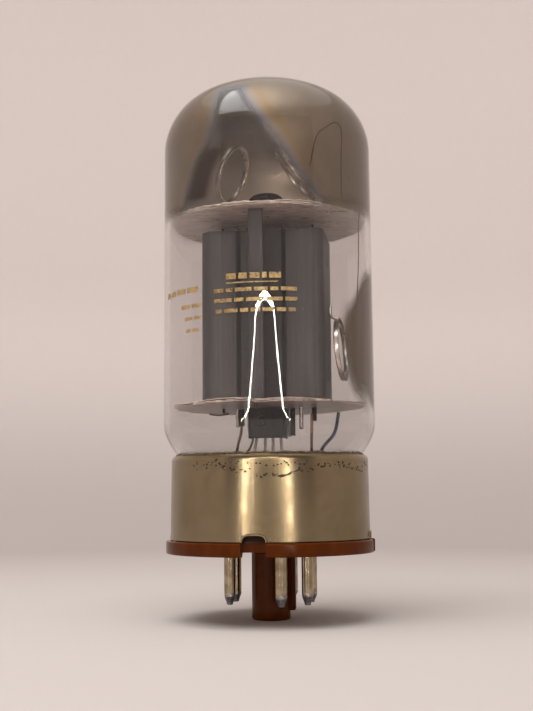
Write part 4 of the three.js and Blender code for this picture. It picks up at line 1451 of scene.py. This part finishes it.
@dataclass
class MicaDisc:
    """A mica spacer: thin leaves with saw-toothed, torn edges that part a little at the rim."""

    name: str
    node: str
    radius: float
    underside: float
    seed: int
    thickness: float = 0.45
    teeth: int = 60
    tooth: float = 0.5
    leaves: int = 3
    flare: float = 0.22

    def leaf(self, number: int) -> Shape:
        """One leaf: radius times the outline at each angle, height by the leaf's own curl near its rim."""
        gauge = self.thickness / self.leaves
        low = self.underside + gauge * number
        seed = self.seed + 10 * number

        def torn(r: Array, a: Array, z: Array) -> tuple[Array, Array]:
            """Cuts the teeth and the tears, and curls the rim."""
            saw = np.abs((a * self.teeth / 360) % 1 - 0.5) * 2 * self.tooth
            tear = np.clip(wobble(a / 9, a * 0, seed, 12) - 0.75, 0, 1) * 1.6
            tear = tear + 0.18 * wobble(a / 1.3, a * 0, seed + 1, 9)
            outline = 1 - (saw + np.clip(tear + 0.1, 0, 1.6)) / self.radius
            share = r / self.radius
            curl = self.flare * wobble(a / 12, r / 9, seed + 2, 7) * share**5
            curl = curl + 0.05 * wobble(a / 4, r / 2.4, seed + 3, 12) * np.clip(share * 1.4, 0, 1)
            return r * outline ** np.clip(share, 0, 1), z + curl + (number - 1) * 0.08 * share**8

        run = np.linspace(0, self.radius, 34)
        top = np.stack([run, np.full_like(run, low + gauge * 0.8)], -1)
        under = np.stack([run[::-1], np.full_like(run, low)], -1)
        return revolve(np.vstack([under[-1:], under[::-1][1:], top[::-1]]), 400, bend=torn)

    def build(self, maker: Maker) -> None:
        """The leaves as one piece."""
        disc = joined([self.leaf(number) for number in range(self.leaves)])
        maker.piece(self.name, disc, SPLIT_MICA, [self.node], crease=50)


@dataclass
class Anode:
    """The anode: two folded halves back to back, joined at fins in front and behind."""

    half_width: float = 12.75
    half_depth: float = 9.6
    channel_depth: float = 0.55
    channel_half: float = 5.2
    corner: float = 2.4
    sheet_gauge: float = 0.4
    bottom: float = 31.2
    top: float = 66.4
    fin_offset: float = 0.35
    fin_radius: float = 17.3
    lip_reach: float = 1.75
    lip_back: float = 1.2
    fin_bottom: float = 30.75
    fin_top: float = 68.8
    ear_inner: float = 13.0
    ear_outer: float = 15.5
    ear_bottom: float = 28.8
    ear_top: float = 70.75
    window_half_width: float = 1.1
    window_half_height: float = 1.85
    window_heights: tuple[float, float] = (37.2, 61.6)

    def wall(self) -> Shape:
        """The left half's wall: a flat run with rounded bends repeated up its height, with the windows
        left out of its side.
        """
        face = self.half_depth - self.sheet_gauge / 2
        channel = face - self.channel_depth
        side = -(self.half_width - self.sheet_gauge / 2)
        front = rounded([
            (-self.fin_offset, -channel - 0.9, 0), (-self.fin_offset, -channel, 0.4),
            (-self.channel_half + 0.9, -channel, 0.5), (-self.channel_half, -face, 0.5),
            (side, -face, self.corner), (side, -self.window_half_width, 0),
        ], 10)
        run = np.vstack([spaced(front, 0.8), (spaced(front, 0.8) * [1, -1])[::-1]])
        edges = [h + s * self.window_half_height for h in self.window_heights for s in (-1, 1)]
        heights = levels([self.bottom, *edges, self.top], 1.0)
        middle_y = (run[1:, 1] + run[:-1, 1]) / 2
        middle_x = (run[1:, 0] + run[:-1, 0]) / 2
        middle_z = (heights[1:] + heights[:-1]) / 2
        through_side = (np.abs(middle_y) < self.window_half_width) & (middle_x < side + 0.1)
        at_window = np.min([np.abs(middle_z - h) for h in self.window_heights], 0) < self.window_half_height
        points = raise_section(run, heights)
        bow = 0.05 * wobble(points[..., 0] / 3, points[..., 2] / 8, 71)
        points[..., 1] += bow * np.sign(points[..., 1])
        return sheet(points, ~(at_window[:, None] & through_side[None, :]))

    def fins(self) -> Shape:
        """The left half's two fins. The front one ends in a strip that covers its twin's edge too."""
        channel = self.half_depth - self.sheet_gauge / 2 - self.channel_depth
        lip = -(self.fin_radius - self.sheet_gauge / 2)
        strip = np.array([[self.lip_reach, lip], [-self.lip_back, lip]])
        front = np.array([[-self.fin_offset, lip], [-self.fin_offset, -channel - 0.5]])
        back = np.array([
            [-self.fin_offset, channel + 0.5], [-self.fin_offset, self.fin_radius - self.sheet_gauge - 0.3],
        ])
        heights = levels([self.fin_bottom, self.fin_top], 1.2)
        ear = np.array([[-self.fin_offset, -self.ear_outer], [-self.fin_offset, -self.ear_inner]])
        return joined([
            sheet(raise_section(spaced(front, 0.7), heights)),
            sheet(raise_section(spaced(back, 0.9), heights)),
            sheet(raise_section(spaced(strip, 0.5), heights)),
            sheet(raise_section(ear, np.array([self.ear_bottom, self.fin_bottom]))),
            sheet(raise_section(ear, np.array([self.fin_top, self.ear_top]))),
        ])

    def build(self, maker: Maker) -> None:
        """Both halves; the right one is the left one turned half round."""
        left = self.wall() + self.fins()
        for hand, turn in (("left", 0.0), ("right", math.pi)):
            half = left.placed(Matrix.Rotation(turn, 4, "Z"))
            maker.piece(
                f"anode_sheet_{hand}", half, COAT, [f"anode_{hand}"],
                wall=self.sheet_gauge, bevel=0.09, crease=50,
            )


@dataclass
class BeamPlates:
    """The two channels round the grid rods that shape the beam."""

    inner: float = 5.3
    half_depth: float = 6.0
    outer: float = 9.8
    gauge: float = 0.3
    bottom: float = 30.8
    top: float = 66.6
    tab_half: float = 0.8
    tab_bottom: float = 29.1
    tab_top: float = 70.45

    def build(self, maker: Maker) -> None:
        """Both plates with their tabs."""
        run = spaced(rounded([
            (self.inner, -self.half_depth, 0), (self.outer - 2, -self.half_depth, 0.8),
            (self.outer, -self.half_depth + 2.4, 0.8), (self.outer, self.half_depth - 2.4, 0.8),
            (self.outer - 2, self.half_depth, 0.8), (self.inner, self.half_depth, 0),
        ]), 0.7)
        tab = np.array([[self.outer, -self.tab_half], [self.outer, self.tab_half]])
        plate = joined([
            sheet(raise_section(run, levels([self.bottom, self.top], 1.5))),
            sheet(raise_section(tab, np.array([self.tab_bottom, self.bottom]))),
            sheet(raise_section(tab, np.array([self.top, self.tab_top]))),
        ])
        for hand, turn in (("right", 0.0), ("left", math.pi)):
            maker.piece(
                f"beam_channel_{hand}", plate.placed(Matrix.Rotation(turn, 4, "Z")), DARK_NICKEL,
                [f"beam_plate_{hand}"], wall=self.gauge, bevel=0.06, crease=50,
            )


@dataclass
class Grid:
    """A grid: two side rods and a flattened helix of fine wire."""

    name: str
    rod_x: float
    rod_radius: float
    half_depth: float
    wire: float
    left_bottom: float
    right_bottom: float
    rod_top: float = 71.2
    bottom: float = 33.0
    top: float = 66.0
    pitch: float = 1.1
    samples: int = 40

    def build(self, maker: Maker) -> None:
        """The rods and the winding: x = reach cos t, y = depth sin t, height rising with t."""
        for hand, side, low in (("left", -1, self.left_bottom), ("right", 1, self.right_bottom)):
            x = side * self.rod_x
            post = rod([(x, 0, low), (x, 0, self.rod_top)], self.rod_radius, sides=20)
            node = f"{self.name}_grid_rod_{hand}"
            maker.piece(f"{self.name}_post_{hand}", post, NICKEL, [node])
        turns = round((self.top - self.bottom) / self.pitch)
        t = np.linspace(0, 1, turns * self.samples + 1)
        reach = self.rod_x + self.rod_radius + self.wire * 0.8
        path = np.stack([
            reach * np.cos(2 * np.pi * turns * t), self.half_depth * np.sin(2 * np.pi * turns * t),
            self.bottom + (self.top - self.bottom) * t,
        ], -1)
        winding = rod(path, self.wire, sides=6)
        maker.piece(f"{self.name}_winding", winding, GOLD_WIRE, [f"{self.name}_grid_winding"])


@dataclass
class Cathode:
    """The oxide-coated sleeve and the two hairpin heaters inside it."""

    half_width: float = 3.2
    half_depth: float = 1.05
    gauge: float = 0.2
    bottom: float = 28.4
    top: float = 71.0
    heater_radius: float = 0.32
    crest: float = 68.5
    legs: tuple[tuple[float, float], ...] = ((-2.3, -0.85), (0.85, 2.3))
    feet: tuple[tuple[float, float, float, float], ...] = ((-3.0, -1.2, -1.2, 1.4), (0.9, -1.4, 2.4, 1.2))

    def build(self, maker: Maker) -> None:
        """The sleeve, and each heater down to its spread feet."""
        w, d = self.half_width - self.gauge / 2, self.half_depth - self.gauge / 2
        corner = rounded([(0, -d, 0), (w, -d, 0.65), (w, 0, 0)])
        quarter = np.vstack([corner, (corner * [1, -1])[::-1][1:]])
        ring = np.vstack([quarter, (quarter * [-1, 1])[::-1][1:]])
        heights = levels([self.bottom, self.top], 2.0)
        sleeve = sheet(raise_section(spaced(ring, 0.5), heights))
        maker.piece("oxide_sleeve", sleeve, OXIDE, ["cathode_sleeve"], wall=self.gauge)
        for hand, legs, feet in zip(("left", "right"), self.legs, self.feet):
            route = [
                (feet[0], feet[1], 18), (feet[0], feet[1], 21), (legs[0], 0, self.bottom), (legs[0], 0, 40),
                (legs[0], 0, self.crest - 1), (sum(legs) / 2, 0, self.crest), (legs[1], 0, self.crest - 1),
                (legs[1], 0, 40), (legs[1], 0, self.bottom), (feet[2], feet[3], 21), (feet[2], feet[3], 18),
            ]
            hairpin = rod(route, self.heater_radius, 160, 12)
            maker.piece(f"hairpin_{hand}", hairpin, ALUMINA, [f"heater_{hand}"])


@dataclass
class Radiator:
    """The cooling flag: a strip arched over the tops of the control grid's posts."""

    top: float = 75.9
    foot: float = 71.3
    reach: float = 4.3
    depth: float = 5.0
    gauge: float = 0.3

    def build(self, maker: Maker) -> None:
        """The strip: half an ellipse carried across its width, with a shallow crease along its middle."""
        turn = np.linspace(np.pi, 0, 41)
        x = self.reach * np.sign(np.cos(turn)) * np.abs(np.cos(turn)) ** 0.8
        z = self.foot + (self.top - self.foot) * np.sin(turn) ** 0.7
        across = np.linspace(-0.5, 0.5, 13) * self.depth
        points = np.stack(np.broadcast_arrays(x, across[:, None], z), -1).copy()
        points[..., 2] -= 0.12 * np.exp(-((across / 0.5) ** 2))[:, None]
        share = np.linspace(1, 0.02, 10)[:, None]
        web = np.stack(np.broadcast_arrays(x, -self.depth / 2, self.foot + (z - self.foot) * share), -1)
        maker.piece(
            "cooling_flag", sheet(points) + sheet(web), DARK_NICKEL, ["grid_radiator"],
            wall=self.gauge, bevel=0.06,
        )


@dataclass
class LowerWorks:
    """What hangs under the bottom mica: the screen box, lugs on the posts, and the leads to the stem."""

    left: float = -3.4
    right: float = 3.9
    front: float = -5.6
    depth: float = 4.2
    top: float = 29.7
    bottom: float = 23.7
    gauge: float = 0.4
    lead_circle: float = 9.6
    lead_foot: float = 12.2
    strap_section: tuple[float, float] = (0.36, 0.22)
    lug_top: float = 29.9
    lugs: tuple[tuple[float, float, float, float], ...] = (
        (-5.9, -0.8, 26.6, 1.1), (5.0, -0.6, 24.4, 0.9), (9.6, -1.0, 27.2, 0.8),
    )

    def foot(self, angle: float) -> tuple[float, float, float]:
        """Where a lead leaves the stem."""
        x, y, z = polar(np.array(self.lead_circle), np.array(angle), np.array(self.lead_foot))
        return float(x), float(y), float(z)

    def box(self, maker: Maker) -> None:
        """The folded screen with a weld button: a domed disc on its face."""
        run = rounded([
            (self.left, self.front + self.depth, 0), (self.left, self.front, 0.5),
            (self.right, self.front, 0.5), (self.right, self.front + self.depth, 0),
        ])
        heights = np.linspace(self.bottom, self.top, 9)
        points = raise_section(spaced(run, 0.5), heights)
        points[..., 1] += 0.09 * wobble(points[..., 0], points[..., 2], 81)
        maker.piece(
            "screen_box", sheet(points), DARK_NICKEL, ["lower_shield"],
            wall=self.gauge, bevel=0.1,
        )
        button = revolve(rounded([(0, 0.55, 0), (0.8, 0.45, 0.3), (1.1, -0.2, 0.2), (0, -0.2, 0)]), 32)
        place = towards((0, -1, 0), (-0.6, self.front - 0.2, (self.top + self.bottom) / 2 + 0.4))
        maker.piece("weld_button", button.placed(place), DARK_NICKEL)

    def lug(self, x: float, y: float, low: float, width: float) -> Shape:
        """A small folded lug: a shallow channel hanging from the mica."""
        left, right = x - width / 2, x + width / 2
        run = rounded([(left, y + 0.5, 0), (left, y, 0.2), (right, y, 0.2), (right, y + 0.5, 0)])
        return sheet(raise_section(spaced(run, 0.3), np.linspace(low, self.lug_top, 5)))

    def build(self, maker: Maker) -> None:
        """The box, the lugs and the leads."""
        self.box(maker)
        lugs = [self.lug(*lug) for lug in self.lugs]
        maker.piece("post_lugs", joined(lugs), DARK_NICKEL, wall=0.22, bevel=0.05)
        slot = through([(-15.4, 10.2, 29.75), (-13.2, 10.7, 29.5), (-11.0, 11.0, 29.8)], 12)
        maker.piece("mica_staple", rod(slot, 0.2, sides=10), COPPER)
        routes: dict[str, tuple[Finish, Slot, float, list[tuple[float, float, float]]]] = {
            "heater_lead_2": (NICKEL, Slot.NICKEL, 0.35, [
                self.foot(157.5), (*self.foot(157.5)[:2], 14), (1.6, 3.4, 15.8), (0.4, 2.4, 17)]),
            "heater_lead_7": (NICKEL, Slot.NICKEL, 0.35, [
                self.foot(22.5), (*self.foot(22.5)[:2], 14), (1.8, -4, 15.8), (0.4, -2.8, 17)]),
            "control_grid_lead": (COPPER, Slot.COPPER, 0.25, [
                self.foot(292.5), (-8.2, -4.4, 16), (-4.7, -1.6, 20.6), (-3.5, -0.8, 23.4),
                (-3.6, -0.75, 25.2)]),
            "screen_grid_lead": (COPPER, Slot.DARK_NICKEL, 0.3, [
                self.foot(247.5), (-8.2, 3.4, 16), (-7.2, 1.4, 22), (-6.3, 1.1, 25.6), (-6.2, 1, 28.8)]),
            "cathode_lead": (COPPER, Slot.COPPER, 0.3, [
                self.foot(67.5), (9.2, -3.2, 18), (9.1, -1.6, 24), (9.2, -1.4, 28.6)]),
        }
        for name, (finish, slot_name, radius, route) in routes.items():
            maker.piece(f"{name}_wire", rod(route, radius, 48, 12), finish, [name])
        route = [self.foot(112.5), (9.3, 4.6, 16.5), (10.6, 5.2, 21.6), (13.2, 6.2, 25.2), (14.2, 6.6, 29.3)]
        strap = sweep(through(route, 60), circle(1.0, 20) * self.strap_section)
        maker.piece("anode_strap", strap, BLUED, ["anode_lead"])


class GetterSeat(Enum):
    """Where a getter ring sits."""

    LEFT = "left"
    RIGHT = "right"
    SIDE = "side"


@dataclass
class Getters:
    """Three channel-section rings on wire stalks, two over the top mica and one beside the anode."""

    radius: float = 6.2
    half_section: float = 0.46
    gauge: float = 0.16
    stalk: float = 0.3
    tab_top: float = 69.9
    centres: dict[GetterSeat, tuple[float, float, float]] = field(default_factory=lambda: {
        GetterSeat.LEFT: (-7.4, -1.2, 80.8),
        GetterSeat.RIGHT: (5.8, 0.9, 80.6),
        GetterSeat.SIDE: (15.4, 0.0, 42.0),
    })
    facings: dict[GetterSeat, tuple[float, float, float]] = field(default_factory=lambda: {
        GetterSeat.LEFT: (-0.915, 0.18, 0.36),
        GetterSeat.RIGHT: (0.81, 0.06, 0.585),
        GetterSeat.SIDE: (0.994, -0.078, 0.07),
    })

    def ring(self, seat: GetterSeat) -> Shape:
        """The ring: a trough's section, walls and floor of one gauge, carried round its axis."""
        h, g, r = self.half_section, self.gauge, self.radius
        section = rounded([
            (r, -h, 0), (r + h, -h, 0.25), (r + h, h, 0.06), (r + h - g, h, 0.06), (r + h - g, -h + g, 0.12),
            (r - h + g, -h + g, 0.12), (r - h + g, h, 0.06), (r - h, h, 0.06), (r - h, -h, 0.25),
            (r - 0.01, -h, 0),
        ], 4)
        return revolve(section, 120, closed=True).placed(towards(self.facings[seat], self.centres[seat]))

    def top_stalk(self, seat: GetterSeat) -> Shape:
        """The stalk under a top ring, up from its tab to the ring's lowest point."""
        normal = Vector(self.facings[seat]).normalized()
        down = (Vector((0, 0, -1)) + normal * normal.z).normalized()
        low = Vector(self.centres[seat]) + down * (self.radius + self.half_section)
        route = [(low.x, low.y, self.tab_top), (low.x, low.y, low.z - 0.9), tuple(low)]
        return rod(route, self.stalk, 24, 12)

    def build(self, maker: Maker) -> None:
        """The rings and their stalks."""
        for seat in GetterSeat:
            node = f"getter_ring_{seat.value}"
            maker.piece(f"trough_ring_{seat.value}", self.ring(seat), RING_NICKEL, [node])
        for seat in (GetterSeat.LEFT, GetterSeat.RIGHT):
            node = f"getter_stalk_{seat.value}"
            maker.piece(f"ring_stalk_{seat.value}", self.top_stalk(seat), RING_NICKEL, [node])
        top = self.centres[GetterSeat.SIDE][2] + self.radius + 0.6
        bend = [(13.3, 0, top + 3), (13.3, 0, top + 0.9), (14.0, 0, top), (15.2, 0, top - 0.1)]
        side = rod(bend, self.stalk, 40, 12)
        maker.piece("ring_stalk_side", side, RING_NICKEL, ["getter_stalk_side"])


# ------------------------------------------------------------------------------------------------
# Studio
# ------------------------------------------------------------------------------------------------


@dataclass
class Studio:
    """The pale ground, the soft light and the camera."""

    floor: float = -13.7
    flat_radius: float = 300.0
    cove: float = 160.0
    wall_top: float = 620.0
    azimuth: float = 9.2
    distance: float = 231.9
    aside: float = -0.494
    height: float = 11.9
    pitch: float = 7.218
    roll: float = -0.55
    lens: float = 55.54
    sky: float = 0.95
    lamp_azimuth: float = 5.4
    lamp_distance: float = 330.0
    lamp_width: float = 5.0
    lamp_strength: float = 60.0
    lamp_leg: tuple[tuple[float, float], ...] = (
        (24, -11), (24, 25), (20.5, 41), (16, 60), (11, 87), (9.5, 98), (5.5, 104),
    )
    lamp_crest: float = 106.5
    lamp_tone: Colour = (1, 0.93, 0.82)
    card_distance: float = 392.0
    card_top: float = 330.0
    card_tone: Colour = (0.21, 0.19, 0.2)
    box_place: tuple[float, float, float] = (-60, -130, 420)
    box_size: float = 320.0
    box_power: float = 2.15
    aim_height: float = 40.0
    sky_tone: Colour = (1.0, 0.975, 0.95)
    sensor_width: float = 36.0

    @staticmethod
    def put(name: str, mesh: bpy.types.Mesh, material: bpy.types.Material) -> bpy.types.Object:
        """Stages a mesh with its material."""
        mesh.materials.append(material)
        made = bpy.data.objects.new(name, mesh)
        bpy.context.scene.collection.objects.link(made)
        return made

    def ground(self) -> None:
        """Floor and wall in one surface: a flat disc, a quarter circle, and an upright wall."""
        turn = np.radians(np.linspace(0, 90, 24))[:, None]
        bend = np.hstack([
            self.flat_radius + self.cove * np.sin(turn), self.floor + self.cove * (1 - np.cos(turn)),
        ])
        wall = self.flat_radius + self.cove
        profile = np.vstack([[[0, self.floor], [60, self.floor]], bend, [[wall, self.wall_top]]])
        shape = revolve(profile, 96)
        shape = Shape(shape.corners, [f[:, ::-1] for f in shape.faces])
        mesh = mesh_of("ground", shape)
        mesh.polygons.foreach_set("use_smooth", np.ones(len(mesh.polygons), bool))
        self.put("ground", mesh, PaleGround().material())
        log.info("ground: floor at %.1f mm", self.floor)

    def lamp(self) -> None:
        """A bent tube lamp behind the camera: up one leg, over the crest and down the other. It shows in
        what the tube reflects.
        """
        other_leg = [(-angle, height) for angle, height in reversed(self.lamp_leg)]
        stations = through([*self.lamp_leg, (0.0, self.lamp_crest), *other_leg], 90)
        centre = polar(np.full(90, self.lamp_distance), stations[:, 0] + self.lamp_azimuth, stations[:, 1])
        mesh = mesh_of("lamp", sweep(centre, circle(self.lamp_width / 2, 8)))
        s = Shader("lamp_glow")
        inputs = {"Color": self.lamp_tone, "Strength": self.lamp_strength}
        glow = s.done(s.node("ShaderNodeEmission", inputs=inputs).outputs[0])
        made = self.put("lamp", mesh, glow)
        made.visible_camera = made.visible_diffuse = False

    def soft_box(self) -> None:
        """A large square area light above and in front, aimed at the tube's middle."""
        light = bpy.data.lights.new("soft_top", "AREA")
        light.energy, light.size = self.box_power, self.box_size * MM
        made = bpy.data.objects.new("soft_top", light)
        position = Vector(self.box_place)
        aim = (Vector((0, 0, self.aim_height)) - position).to_track_quat("-Z", "Y").to_matrix().to_4x4()
        made.matrix_world = Matrix.Translation(position * MM) @ aim
        made.visible_camera = made.visible_glossy = False
        bpy.context.scene.collection.objects.link(made)

    def flag(self) -> None:
        """A grey card curved round behind the camera, which only shows in what the tube reflects."""
        spread = np.linspace(-50, 50, 40) + self.azimuth
        angle, height = np.meshgrid(spread, [self.floor + 1.0, self.card_top])
        mesh = mesh_of("flag", sheet(polar(np.full(angle.shape, self.card_distance), angle, height)))
        s = Shader("flag_grey")
        grey = s.done(s.principled(Base_Color=self.card_tone, Roughness=0.9))
        made = self.put("flag", mesh, grey)
        made.visible_camera = made.visible_diffuse = made.visible_shadow = made.visible_transmission = False

    def camera(self) -> None:
        """The camera, looking a little up at the tube from low in front."""
        turn, tilt, roll = (math.radians(v) for v in (self.azimuth, self.pitch, self.roll))
        right = Vector((math.cos(turn), math.sin(turn), 0))
        ahead = Vector((-math.sin(turn) * math.cos(tilt), math.cos(turn) * math.cos(tilt), math.sin(tilt)))
        up = right.cross(ahead)
        rolled = right * math.cos(roll) + up * math.sin(roll)
        upright = rolled.cross(ahead)
        level = Vector((-math.sin(turn), math.cos(turn), 0))
        place = right * self.aside - level * self.distance + Vector((0, 0, self.height))
        axes = Matrix((rolled, upright, -ahead)).transposed().to_4x4()
        data = bpy.data.cameras.new("camera")
        data.lens, data.sensor_width = self.lens, self.sensor_width
        data.clip_start, data.clip_end = 0.01, 10.0
        made = bpy.data.objects.new("camera", data)
        made.matrix_world = Matrix.Translation(place * MM) @ axes
        bpy.context.scene.collection.objects.link(made)
        bpy.context.scene.camera = made

    def build(self) -> None:
        """The whole studio."""
        scene = bpy.context.scene
        scene.view_settings.view_transform = "Standard"
        world = bpy.data.worlds.new("soft_sky")
        scene.world = world
        world.use_nodes = True
        sky = world.node_tree.nodes["Background"]
        sky.inputs["Color"].default_value = (*self.sky_tone, 1)
        sky.inputs["Strength"].default_value = self.sky
        self.ground()
        self.lamp()
        self.flag()
        self.soft_box()
        self.camera()


def build_tube(maker: Maker) -> None:
    """Builds every sub-assembly: the glass and what lies on it, the base, then the cage inside."""
    bulb = Bulb()
    bulb.build(maker)
    Stem().build(maker)
    Flash(bulb).build(maker)
    Print(bulb).build(maker)
    Sleeve().build(maker)
    Cement().build(maker)
    Wafer().build(maker)
    Pins().build(maker)
    MicaDisc("mica_top", "top_mica", 21.0, 69.1, 101).build(maker)
    MicaDisc("mica_bottom", "bottom_mica", 20.4, 30.0, 201).build(maker)
    Anode().build(maker)
    BeamPlates().build(maker)
    Grid("control", 4.3, 0.4, 1.9, 0.06, 25.2, 24.2).build(maker)
    Grid("screen", 6.8, 0.45, 3.6, 0.07, 26.4, 25.8).build(maker)
    Cathode().build(maker)
    Radiator().build(maker)
    LowerWorks().build(maker)
    Getters().build(maker)
    maker.dress_nodes()


def main() -> None:
    """Builds the studio and the tube."""
    logging.basicConfig(level=logging.INFO, format="%(name)s: %(message)s")
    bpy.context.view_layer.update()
    Studio().build()
    maker = Maker()
    build_tube(maker)
    log.info("%d pieces made", len(maker.made))


if __name__ == "__main__":
    main()
